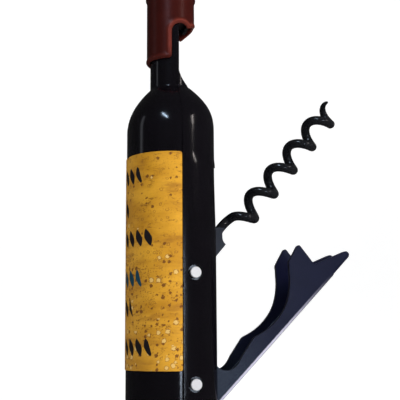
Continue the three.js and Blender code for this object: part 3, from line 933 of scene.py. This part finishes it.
def rear_section(z):
    """The rear shell's section: two cheeks, their lips, and the slot between them."""
    deep = z <= SLOT_TOP_Z
    half = SLOT_HALF_Y if deep else WORM_SLOT_HALF_Y
    floor = SLOT_FLOOR_X if deep else WORM_SLOT_FLOOR_X
    radius = float(bottle_radius(z))
    face = PARTING_X + PARTING_GAP / 2

    def on_skin(angle):
        reach = float(rear_radius(math.cos(angle), math.sin(angle), z))
        return reach * math.cos(angle), reach * math.sin(angle)

    def angle_where(test, low, high):
        """Halves the span until test turns from false to true."""
        for _ in range(40):
            middle = (low + high) / 2
            if test(on_skin(middle)):
                high = middle
            else:
                low = middle
        return (low + high) / 2

    quarter = math.pi / 2
    lip = angle_where(lambda p: p[1] > min(half, radius * 0.9), 0.0, quarter)
    seam = angle_where(lambda p: p[0] < face, 0.0, quarter)
    lip_in = lip + min(LIP_ROUND / radius, (seam - lip) * 0.3)
    seam_in = seam - CORNER / radius
    lip_x, lip_y = on_skin(lip)
    seam_y = on_skin(seam)[1]
    skin = [on_skin(a) for a in np.linspace(seam_in, lip_in, OUTER_STEPS // 2)]
    upper = round_corner((face, seam_y - CORNER), (face, seam_y), skin[0])
    upper += skin
    upper += round_corner(skin[-1], (lip_x, lip_y), (lip_x - LIP_ROUND, lip_y), 6)
    upper += [(lip_x - LIP_ROUND, lip_y), (floor + 0.3, lip_y)]
    upper += round_corner((floor + 0.3, lip_y), (floor, lip_y), (floor, lip_y - 0.3))
    upper += [(floor, lip_y - 0.3)]
    channel = z <= CHANNEL_Z[1]
    if channel:
        back = SLOT_FLOOR_X - CHANNEL_WALL
        wide = SLOT_HALF_Y + CHANNEL_WALL
        inner = [(back, wide), (face, wide), (face, seam_y - CORNER)]
    else:
        inner = [(face, seam_y * 0.3), (face, seam_y * 0.6), (face, seam_y - CORNER)]
    half_ring = inner + upper
    lower_half = [(x, -y) for x, y in half_ring[::-1]]
    limit = ramp_x(z)
    return [(min(x, limit), y, z) for x, y in half_ring + lower_half][::-1]


RAMP_CURVE = [RAMP_FOOT, RAMP_BEND[0]] + bezier(*RAMP_BEND, steps=14)


def ramp_x(z):
    """How far out the ramp lets the shell reach at height z."""
    out, up = np.array(RAMP_CURVE).T
    return float(np.interp(z, up, out, left=99.0))


def recess_cutter(pin, side):
    """Cuts a rivet's round recess on one side, with its rim rounded along the curved skin."""
    steps = 72
    spans = [(RECESS_R, None)]
    for degrees in (0, 18, 36, 54, 72):
        turn = math.radians(degrees)
        spans.append((RECESS_R + RECESS_RIM * (1 - math.cos(turn)),
                      RECESS_RIM * (1 - math.sin(turn))))
    spans.append((RECESS_R + RECESS_RIM, -0.08))
    rows = []
    for radius, depth in spans:
        for j in range(steps):
            a = 2 * math.pi * j / steps
            x, z = pin[0] + radius * math.cos(a), pin[2] + radius * math.sin(a)
            y = RECESS_FLOOR_Y if depth is None else skin_y(x, z) - depth
            rows.append((x, side * y, z))
    rows += [(x, side * CLEAR, z) for x, _, z in rows[-steps:]]
    faces = ring_faces(len(rows) // steps, steps)
    faces.append(tuple(range(steps)))
    faces.append(tuple(range(len(rows) - steps, len(rows))))
    return fix_facing(make("recess", rows, faces))


def skin_y(x, z):
    """The rear shell's half width at (x, z)."""
    low, high = x, BODY_R + 2
    for _ in range(40):
        y = (low + high) / 2
        r = math.hypot(x, y)
        if r < float(rear_radius(x / r, y / r, z)):
            low = y
        else:
            high = y
    return y


def rear_shell():
    low_z, top_z = CHANNEL_Z
    heights = rows_between(0.0, SLOT_TOP_Z) + rows_between(SLOT_TOP_Z + 1e-3, top_z)
    heights += rows_between(top_z + 1e-3, REAR_TOP_Z - 0.02, [z for _, z in RAMP_CURVE[:-1]])
    shell = loft("rear_shell_cover", [rear_section(z) for z in heights])
    face = PARTING_X + PARTING_GAP / 2
    cut(shell, block("below_channel", (-BASE_CUT[0], -BASE_CUT[1], -1), (face, BASE_CUT[1], low_z)))
    for z in SCREW_Z:
        combine(shell, along_x(turned("boss", BOSS_OUTLINE, 48), z), "UNION")
        cut(shell, along_x(turned("hole", BOSS_HOLE, 32), z))
    for pin in (LEVER_PIN, WORM_PIN):
        cut(shell, pin_bore(CLEAR, 64, pin[0], pin[2]))
        for side in (-1, 1):
            cut(shell, recess_cutter(pin, side))
    spring_low, spring_high = box_mm("worm_detent_spring")
    slit_low = (SLOT_FLOOR_X - 3, spring_low[1] - SLIT_GAP, spring_low[2] - SLIT_GAP)
    slit_high = (SLOT_FLOOR_X + 0.6, spring_high[1] + SLIT_GAP, spring_low[2] + SLIT_HEIGHT)
    cut(shell, block("spring_slit", slit_low, slit_high))
    smooth(shell, 30, weighted=False)
    exact_normals(shell, bottle_surface)
    return shell


# ---- capsule ----

CAPSULE_MID_R = (CAPSULE_R + CAPSULE_BORE_R) / 2
CAPSULE_HALF_T = (CAPSULE_R - CAPSULE_BORE_R) / 2
FULL_TURN = 2 * math.pi
EDGE_CORNER = 0.16
EDGE_POINTS = 300
BORE_TOP_Z = 118.7
BORE_EVEN_Z = 115.5
BORE_ROWS = (1, 0.8, 0.6, 0.4, 0.2, 0.11, 0.05, 0)
BEAD_ROWS = (0.0, 0.18, 0.36, 0.54, 0.75, 1.0, 1.3, 1.7, 2.2)
BEAD_BULGE = 0.2
BEAD_WIDTH = 0.75
CAPSULE_TOP_STEPS = 14


def capsule_edge():
    """The capsule's lower edge as (angle, z) all the way round, from -X by -Y to +X and back."""
    z0 = CAPSULE_LOW[2]

    def angle_of(x):
        """Angle from -X for a point at x on the wall."""
        return math.acos(max(-1.0, min(1.0, -x / CAPSULE_MID_R)))

    corner = angle_of(CAPSULE_CUT_X)
    half = [(a, z0) for a in np.linspace(0, corner - EDGE_CORNER, 22)]
    half += bezier((corner - EDGE_CORNER, z0), (corner, z0), (corner, z0 + 1.1), steps=8)
    half += [(corner, z) for z in np.linspace(z0 + 1.5, NOTCH_ROOF_Z - 2.9, 14)]
    arch = [p for p in notch_edge() if p[0] < CAPSULE_MID_R]
    half += [(angle_of(x), z) for x, z in arch]
    half.append((math.pi, NOTCH_ROOF_Z + 0.98))
    other = [(2 * math.pi - a, z) for a, z in half[1:][::-1]]
    return resample(half + other, EDGE_POINTS)


def resample(loop, count):
    """Even spacing along a closed (angle, z) loop that ends one step before it starts."""
    points = np.array(loop + [(loop[0][0] + 2 * math.pi, loop[0][1])])
    flat = points * np.array([CAPSULE_MID_R, 1.0])
    lengths = np.concatenate([[0], np.cumsum(np.linalg.norm(np.diff(flat, axis=0), axis=1))])
    wanted = np.linspace(0, lengths[-1], count, endpoint=False)
    angles = np.interp(wanted, lengths, points[:, 0])
    heights = np.interp(wanted, lengths, points[:, 1])
    for _ in range(3):
        before = np.concatenate([[angles[-1] - FULL_TURN], angles[:-1]])
        after = np.concatenate([angles[1:], [angles[0] + FULL_TURN]])
        angles = 0.5 * angles + 0.25 * (before + after)
        heights = 0.5 * heights + 0.25 * (np.roll(heights, 1) + np.roll(heights, -1))
    return angles, heights


def capsule():
    """Closed sleeve: rounded, slightly proud edge below, plain wall, collar and flat top."""
    angles, heights = capsule_edge()
    count = len(angles)
    d_angle = (np.roll(angles, -1) + FULL_TURN * (np.arange(count) == count - 1)
               - np.roll(angles, 1) + FULL_TURN * (np.arange(count) == 0))
    d_height = np.roll(heights, -1) - np.roll(heights, 1)
    across = d_angle * CAPSULE_MID_R
    length = np.hypot(across, d_height)
    into_angle = -d_height / length / CAPSULE_MID_R
    into_height = across / length

    wall_top = COLLAR_Z[0] - 0.4
    top_angles = np.linspace(0, FULL_TURN, count, endpoint=False) + angles[0]
    rows, painted_highlight_weights = [], []
    # above_foot weakens the painted highlight along the level foot of the edge
    above_foot = np.interp(heights, (CAPSULE_LOW[2] + 0.5, CAPSULE_LOW[2] + 4.0), (0.3, 1.0))

    def row(radius, angle, z, rim=0.0):
        radius = np.broadcast_to(radius, angle.shape)
        rows.append(np.stack([-radius * np.cos(angle), -radius * np.sin(angle), z], 1))
        painted_highlight_weights.extend(rim * above_foot)

    round_r = CAPSULE_HALF_T

    row(0.01, top_angles, np.full(count, BORE_TOP_Z))
    row(CAPSULE_BORE_R, top_angles, np.full(count, BORE_TOP_Z))
    for t in BORE_ROWS:
        z = heights + round_r + (BORE_EVEN_Z - heights - round_r) * t
        a = angles + into_angle * round_r * (1 - t) + (top_angles - angles) * t
        # painted highlight carried onto the shaded inside of the wall, on the rows next to the edge
        row(CAPSULE_BORE_R, a, z, 0.7 if t < 0.1 else 0.0)
    for step in np.radians(np.linspace(15, 165, 9)):
        offset = round_r - round_r * math.sin(step)
        radius = CAPSULE_MID_R - round_r * math.cos(step)
        # the rounded edge carries the painted highlight
        row(radius, angles + into_angle * offset, heights + into_height * offset, 0.7)
    for depth in BEAD_ROWS:
        bulge = BEAD_BULGE * math.exp(-((depth - 0.25) / BEAD_WIDTH) ** 2 * 2.2)
        offset = round_r + depth
        # the painted highlight follows the bead's bulge
        rim = bulge / BEAD_BULGE
        row(CAPSULE_R + bulge, angles + into_angle * offset, heights + into_height * offset, rim)
    base_a = angles + into_angle * offset
    base_z = heights + into_height * offset
    for t in np.linspace(0, 1, CAPSULE_TOP_STEPS)[1:]:
        row(CAPSULE_R, base_a + (top_angles - base_a) * t, base_z + (wall_top - base_z) * t)
    foot, top = COLLAR_Z[0], CAPSULE_HIGH[2]
    collar = trace(
        (CAPSULE_R, wall_top),
        (8, (CAPSULE_R, foot - 0.1), (COLLAR_R, foot - 0.1), (COLLAR_R, foot + 0.3)),
        (COLLAR_R, COLLAR_Z[1] - 0.9),
        (9, (COLLAR_R, top), (COLLAR_R - 1.1, top)),
        (4.0, top), (2.0, top), (0.01, top),
    )
    for radius, z in collar[1:]:
        row(radius, top_angles, np.full(count, z))

    sleeve = loft("capsule_sleeve", rows)
    # the painted highlight's weights, stored as the 'rim' attribute for capsule_red
    sleeve.data.attributes.new("rim", "FLOAT", "POINT").data.foreach_set("value", painted_highlight_weights)
    return smooth(sleeve, 50, weighted=False)


# ---- label ----


def label():
    """A thin printed sheet round the front, with rounded corners and a pale cut edge."""
    inner, outer = BODY_R + 0.03, LABEL_HIGH[1]
    z0, z1 = LABEL_LOW[2], LABEL_HIGH[2]
    edge_angle = math.acos(-LABEL_HIGH[0] / outer)
    corner = 0.5
    columns = 120
    verts, faces = [], []
    spread = np.linspace(-1, 1, columns)
    spread = np.sign(spread) * (1 - (1 - np.abs(spread)) ** 1.15)
    for radius in (outer, inner):
        for t in (0.0, 1.0):
            for s in spread:
                angle = s * edge_angle
                gap = (1 - abs(s)) * edge_angle * outer
                cut = corner - math.sqrt(max(0.0, corner**2 - max(0.0, corner - gap) ** 2))
                z = z0 + cut if t == 0.0 else z1 - cut
                verts.append((-radius * math.cos(angle), -radius * math.sin(angle), z))
    n = columns
    for j in range(n - 1):
        faces.append((n + j, j, j + 1, n + j + 1)[::-1])
        faces.append((3 * n + j, 2 * n + j, 2 * n + j + 1, 3 * n + j + 1))
        faces.append((j, j + 1, 2 * n + j + 1, 2 * n + j)[::-1])
        faces.append((n + j, n + j + 1, 3 * n + j + 1, 3 * n + j))
    faces.append((0, n, 3 * n, 2 * n)[::-1])
    faces.append((n - 1, 2 * n - 1, 4 * n - 1, 3 * n - 1))
    return smooth(fix_facing(make("label_print", verts, faces)), 40, weighted=False)


def fix_facing(piece):
    """Turns all faces outward on a closed mesh."""
    data = bmesh.new()
    data.from_mesh(piece.data)
    bmesh.ops.recalc_face_normals(data, faces=data.faces)
    data.to_mesh(piece.data)
    data.free()
    return piece


# ---- lever, drawn along +X from its pin with its open side up ----

LEVER_REACH = (-8.0, 62.0)
ARM_CLEAR_Y = 9


def lever_side():
    """Outline of the two sides, from the web's foot round the teeth and back to the hub."""
    return trace(
        (WEB_S[0], WEB_Q), (WEB_S[1], WEB_Q), (50.3, -9.25), (56.8, -9.2),
        (6, (57.7, -8.9), (57.6, -7.9)),
        (4, (57.5, -7.4), (56.9, -7.08)),
        (48.3, -3.5),
        (4, (47.8, -3.3), (47.85, -2.8)),
        (48.25, 0.2), (48.6, 3.1),
        (6, (48.75, 4.05), (47.6, 3.8)),
        (43.3, 2.65),
        (4, (42.8, 2.5), (42.45, 2.1)),
        (4, (41.9, 1.3), (41.0, 0.5)),
        (14, (39.4, -1.4), (37.2, -3.4), (34.0, -4.85)),
        (12, (31.2, -6.0), (26.9, -6.5), (22.5, -4.95)),
        (21.2, -4.5),
        (4, (20.5, -4.3), (19.7, -4.55)),
        (14.6, -5.45),
        (8, (11.9, -6.4), (10.2, -5.7)),
        (6, (8.9, -5.0), (8.2, -3.4)),
        (9, (8.1, 1.6), (4.6, 3.2)),
    ) + arc(0, 0, LEVER_HUB_R, 40, 222, 22)


def channel_section():
    """The bent sheet seen along the lever, as (y, z)."""
    y, q, top = LEVER_HALF_Y, WEB_Q, 6.0
    inner = BEND_R * 0.35
    right = arc(y - BEND_R, q + BEND_R, BEND_R, -90, 0, 8) + [(y, top), (y - SHEET, top)]
    right += arc(y - SHEET - inner, q + SHEET + inner, inner, 0, -90, 5)
    left = [(-a, b) for a, b in right[::-1]]
    return left + right


def lever():
    section = channel_section()
    blank = [(s, y, z) for s in LEVER_REACH for y, z in section]
    arm = fix_facing(extruded("lever_arm_sheet", blank))
    sides = fix_facing(prism("sides", lever_side(), -ARM_CLEAR_Y, ARM_CLEAR_Y))
    combine(arm, sides, "INTERSECT")
    inside = LEVER_HALF_Y - SHEET
    cut(arm, block("web_end", (WEB_S[1], -inside, -12), (60, inside, 8)))
    cut(arm, pin_bore(ARM_CLEAR_Y, 48))
    return rounded(arm, 0.2)


def tilt(angle, pin):
    """From a part's own frame to its drawn place: tipped up by angle about its pin."""
    return Matrix.Translation(Vector(pin)) @ Matrix.Rotation(-angle, 4, "Y")


# ---- worm and hub, drawn along +X from their pin ----

WIRE_GAP = 0.05
WIRE_BORE_X = (7.2, 20)
WIRE_ROWS = 440
WIRE_SIDES = 28
SHANK_PULL = 2.54
HELIX_PULL = 2.33


def helix_point(s):
    angle = 2 * math.pi * (s - HELIX_PHASE_S) / HELIX_PITCH
    past = max(0.0, s - TIP_S) ** 2
    r = HELIX_R * (1 - TIP_DRAW_IN * past)
    along, side = s - TIP_SHORTEN * past, r * math.sin(angle)
    return np.array([along, side, -HELIX_OFFSET - r * math.cos(angle)])


def worm_path():
    """The middle of the wire, evenly spaced: shank, entry bend, then the helix."""
    start = helix_point(HELIX_S[0])
    along = helix_point(HELIX_S[0] + 1e-3) - start
    along /= np.linalg.norm(along)
    shank_end = np.array([SHANK_X[1], 0, SHANK_Z])
    points = [np.array([x, 0, SHANK_Z]) for x in np.linspace(*SHANK_X, 16)]
    points += [np.array(p) for p in bezier(shank_end, shank_end + np.array([SHANK_PULL, 0, 0]),
                                           start - along * HELIX_PULL, start, steps=24)]
    points += [helix_point(s) for s in np.linspace(*HELIX_S, 420)[1:]]
    points = np.array(points)
    lengths = np.concatenate([[0], np.cumsum(np.linalg.norm(np.diff(points, axis=0), axis=1))])
    wanted = np.linspace(0, lengths[-1], WIRE_ROWS)
    path = np.stack([np.interp(wanted, lengths, points[:, k]) for k in range(3)], 1)
    return path, wanted


def sweep(name, path, radii, sides):
    """A round bar along a path, closed by a flat face at each end."""
    tangents = np.gradient(path, axis=0)
    tangents /= np.linalg.norm(tangents, axis=1, keepdims=True)
    normal = np.cross(tangents[0], (0, 1, 0))
    turns = [2 * math.pi * j / sides for j in range(sides)]
    rings = []
    for centre, tangent, radius in zip(path, tangents, radii):
        normal = normal - tangent * normal.dot(tangent)
        normal /= np.linalg.norm(normal)
        other = np.cross(tangent, normal)
        rings.append([centre + radius * (math.cos(a) * normal + math.sin(a) * other)
                      for a in turns])
    return loft(name, rings)


def worm():
    path, lengths = worm_path()
    left = (lengths[-1] - lengths) / TIP_TAPER
    radii = WIRE_R * (0.10 + 0.90 * np.sqrt(np.clip(left, 0, 1)))
    return smooth(sweep("worm_wire", path, radii, WIRE_SIDES), 60, weighted=False)


def hub_outline():
    return trace(
        (13.5, -HUB_SIDE),
        (8, (13.6, -1.4), (14.6, -0.75)),
        (15.2, -0.2), (17.0, 0.3), (15.2, 2.3), (14.6, 2.8), (6.5, 2.9),
        (6, (4.0, 4.4), (2.2, 4.4)),
    ) + arc(0, 0, HUB_BACK_R, 64, 213, 20)


def worm_hub():
    hub = fix_facing(prism("worm_hub_block", hub_outline(), -HUB_HALF_Y, HUB_HALF_Y))
    cut(hub, pin_bore(ARM_CLEAR_Y, 48))
    radius = WIRE_R + WIRE_GAP
    start, end = WIRE_BORE_X
    bore = [(0, start), (radius, start), (radius, end), (0, end)]
    cut(hub, along_x(turned("wire_bore", bore, 48), SHANK_Z))
    return rounded(hub, 0.22)


# ---- small turned and bent parts ----

BORE_END_Y = -7
CORE_END_Y = -6.6
LIFTER_SHEET = 1.0
SPRING_SHEET = 0.45


def pivot_profiles():
    """Outlines of the two halves of a rivet, as (radius, y)."""
    edge = 0.15
    head, shank_end = PIN_END_Y - PIN_HEAD_T, RECESS_FLOOR_Y - 0.15
    female = [(0, -PIN_END_Y), (PIN_HEAD_R - edge, -PIN_END_Y), (PIN_HEAD_R, -PIN_END_Y + edge),
              (PIN_HEAD_R, -head), (PIN_SHANK_R, -head), (PIN_SHANK_R, shank_end),
              (PIN_BORE_R, shank_end), (PIN_BORE_R, BORE_END_Y), (0, BORE_END_Y)]
    male = [(0, CORE_END_Y), (PIN_CORE_R, CORE_END_Y), (PIN_CORE_R, head), (PIN_HEAD_R, head),
            (PIN_HEAD_R, PIN_END_Y - edge), (PIN_HEAD_R - edge, PIN_END_Y), (0, PIN_END_Y)]
    return {"female": female, "male": male}


def add_pivots():
    for arm, pin in (("lever", LEVER_PIN), ("worm", WORM_PIN)):
        for half, profile in pivot_profiles().items():
            piece = along_y(turned(f"{arm}_rivet_{half}", profile, 64), pin[0], pin[2])
            smooth(piece, 35, weighted=False)
            place(piece, "bottle", f"{arm}_pivot_{half}", "rivet_metal")


def add_rings():
    """Washers beside the lever and bushes beside the hub, each as long as its CAD node."""
    for node in ("lever_washer_left", "lever_washer_right", "worm_spacer_left",
                 "worm_spacer_right"):
        low, high = box_mm(node)
        radius = (high[2] - low[2]) / 2
        edge = min(0.25, (high[1] - low[1]) * 0.3)
        y0, y1 = low[1], high[1]
        profile = [(PIN_HOLE_R, y0), (radius - edge, y0), (radius, y0 + edge),
                   (radius, y1 - edge), (radius - edge, y1), (PIN_HOLE_R, y1)]
        piece = along_y(turned(node.replace("_", "_ring_", 1), profile, 64),
                        (low[0] + high[0]) / 2, (low[2] + high[2]) / 2)
        smooth(piece, 35, weighted=False)
        place(piece, "bottle", node, "nylon")


def cap_lifter():
    """Bent plate in the hook: leg, roof and lip."""
    low, high = box_mm("cap_lifter_insert")
    leg, lip, foot, roof = low[0], high[0], low[2], high[2]
    t = LIFTER_SHEET
    leg_in, lip_in, under = leg + t, lip - t, roof - t
    points = trace(
        (leg, foot), (leg_in, foot), (leg_in, under - 0.4),
        (4, (leg_in, under), (leg_in + 0.4, under)),
        (lip_in - 0.4, under),
        (4, (lip_in, under), (lip_in, under - 0.4)),
        (lip_in, 108.4), (lip - 0.4, 108.0), (lip, 108.2), (lip, roof - 0.9),
        (6, (lip, roof), (lip - 0.9, roof)),
        (leg + 0.9, roof),
        (6, (leg, roof), (leg, roof - 0.9)),
    )
    return rounded(fix_facing(prism("cap_lifter_plate", points, low[1], high[1])), 0.1, 2)


def detent_spring():
    low, high = box_mm("worm_detent_spring")
    t = SPRING_SHEET
    points = trace(
        (low[0], low[2]), (high[0] - 0.3, low[2]),
        (4, (high[0], low[2]), (high[0], low[2] + 0.3)),
        (high[0], high[2]), (high[0] - t, high[2]), (high[0] - t, low[2] + t),
        (low[0], low[2] + t),
    )
    return rounded(fix_facing(prism("detent_leaf", points, low[1], high[1])), 0.08, 2)


# ---- assembly ----

add_camera()

place(front_shell(), "bottle", "front_shell", "shell_black")
place(rear_shell(), "bottle", "rear_shell", "shell_black")
place(capsule(), "bottle", "capsule", "capsule_red")
place(cap_lifter(), "bottle", "cap_lifter_insert", "blackened_steel")
place(detent_spring(), "bottle", "worm_detent_spring", "bright_steel")

label_piece = place(label(), "bottle", "label", "cork_print")
label_piece.data.materials.append(LABEL_EDGE)
for face in label_piece.data.polygons:
    outward = Vector((face.center.x, face.center.y, 0)).normalized()
    if abs(face.normal.dot(outward)) < 0.6:
        face.material_index = 1

add_pivots()
add_rings()

place(lever(), "lever_arm", "lever", "painted_steel", tilt(LEVER_ANGLE, LEVER_PIN))
hub = place(worm_hub(), "worm_arm", "worm_hub", "painted_steel", tilt(WORM_ANGLE, WORM_PIN))
hub.data.materials[0] = HUB_PAINT
place(worm(), "worm_arm", "worm", "coated_wire", tilt(WORM_ANGLE, WORM_PIN))

for number in (1, 2):
    screw = frame["nodes"][f"shell_screw_{number}"]
    screw.data.materials.clear()
    screw.data.materials.append(LOOKS["bright_steel"])


# ---- floor and light ----

FLOOR_GLOW = 0.46
ROOM_LIGHT = 0.50
ROOM_SLOPE = 0.50
ROOM_IN_GLOSS = 0.035


def floor_look(n, shader):
    """Pale matte sweep, lit from within a little so that it stays near white."""
    grain = n.noise(n.place_mm(), 0.02, 3.0)
    surface(n, shader, n.mix(grain, rgba(0.80, 0.80, 0.80), rgba(0.84, 0.84, 0.84)),
            constants={"Roughness": 0.9, "Specular IOR Level": 0.1,
                       "Emission Color": rgba(1, 1, 1), "Emission Strength": FLOOR_GLOW})


def add_floor():
    """A pale level floor with a wide bend behind it up to a tall wall, kept out of gloss."""
    profile = [(-1.6, 0.0), (1.0, 0.0)]
    profile += bezier((1.0, 0.0), (2.0, 0.0), (2.0, 1.0), steps=24) + [(2.0, 2.6)]
    verts = [(across, y, z) for across in (-3.0, 3.0) for y, z in profile]
    count = len(profile)
    faces = [(j, count + j, count + j + 1, j + 1) for j in range(count - 1)]
    floor = make("floor", verts, faces)
    floor.data.shade_smooth()
    floor.data.materials.append(new_material("floor", floor_look))
    floor.location.z = -0.0001
    floor.visible_glossy = False


def area_light(name, place_at, size, power, tint=(1, 1, 1), roll=0.0):
    """A rectangular light aimed at the object's middle."""
    data = bpy.data.lights.new(name, "AREA")
    data.shape = "RECTANGLE"
    data.size, data.size_y = size
    data.energy = power
    data.color = tint
    light = bpy.data.objects.new(name, data)
    aim = (Vector((0.01, 0, 0.06)) - Vector(place_at)).to_track_quat("-Z", "Y")
    light.matrix_world = (Matrix.Translation(place_at) @ aim.to_matrix().to_4x4()
                          @ Matrix.Rotation(math.radians(roll), 4, "Z"))
    bpy.context.scene.collection.objects.link(light)
    return light


def add_room():
    """Soft light, stronger from +X; gloss reflects a dim room, and the backdrop stays pale."""
    world = bpy.data.worlds.new("studio")
    world.use_nodes = True
    n = Nodes(world.node_tree)
    toward = n.add("ShaderNodeTexCoord").outputs["Generated"]
    x = n.add("ShaderNodeSeparateXYZ", {0: toward}).outputs[0]
    soft = n.line(x, ROOM_SLOPE, ROOM_LIGHT)
    rays = n.add("ShaderNodeLightPath").outputs
    back = world.node_tree.nodes["Background"]
    back.inputs[0].default_value = (1, 1, 1, 1)
    seen = n.lerp(rays["Is Camera Ray"], n.lerp(rays["Is Glossy Ray"], soft, ROOM_IN_GLOSS), 1.0)
    n.put(back.inputs[1], seen)
    bpy.context.scene.world = world
    bpy.context.scene.view_settings.view_transform = "Standard"


def add_lamps():
    """A broad soft key from the right, and small lamps for the glints."""
    key = area_light("key", (0.42, -0.50, 0.34), (0.30, 0.30), 4.2)
    key.visible_glossy = False
    area_light("glint", (-0.30, -0.55, 0.55), (0.23, 0.035), 1.1, (0.62, 0.80, 1.0), -38)
    area_light("strip", (0.52, -0.48, 0.40), (0.02, 0.22), 0.3, (1.0, 0.92, 0.88))
    area_light("window", (0.168, -0.775, 0.04), (0.03, 0.20), 0.40, (0.70, 0.82, 1.0))
    area_light("rim", (-0.75, 0.05, 0.30), (0.10, 0.5), 0.12, (0.85, 0.9, 1.0))


add_floor()
add_room()
add_lamps()
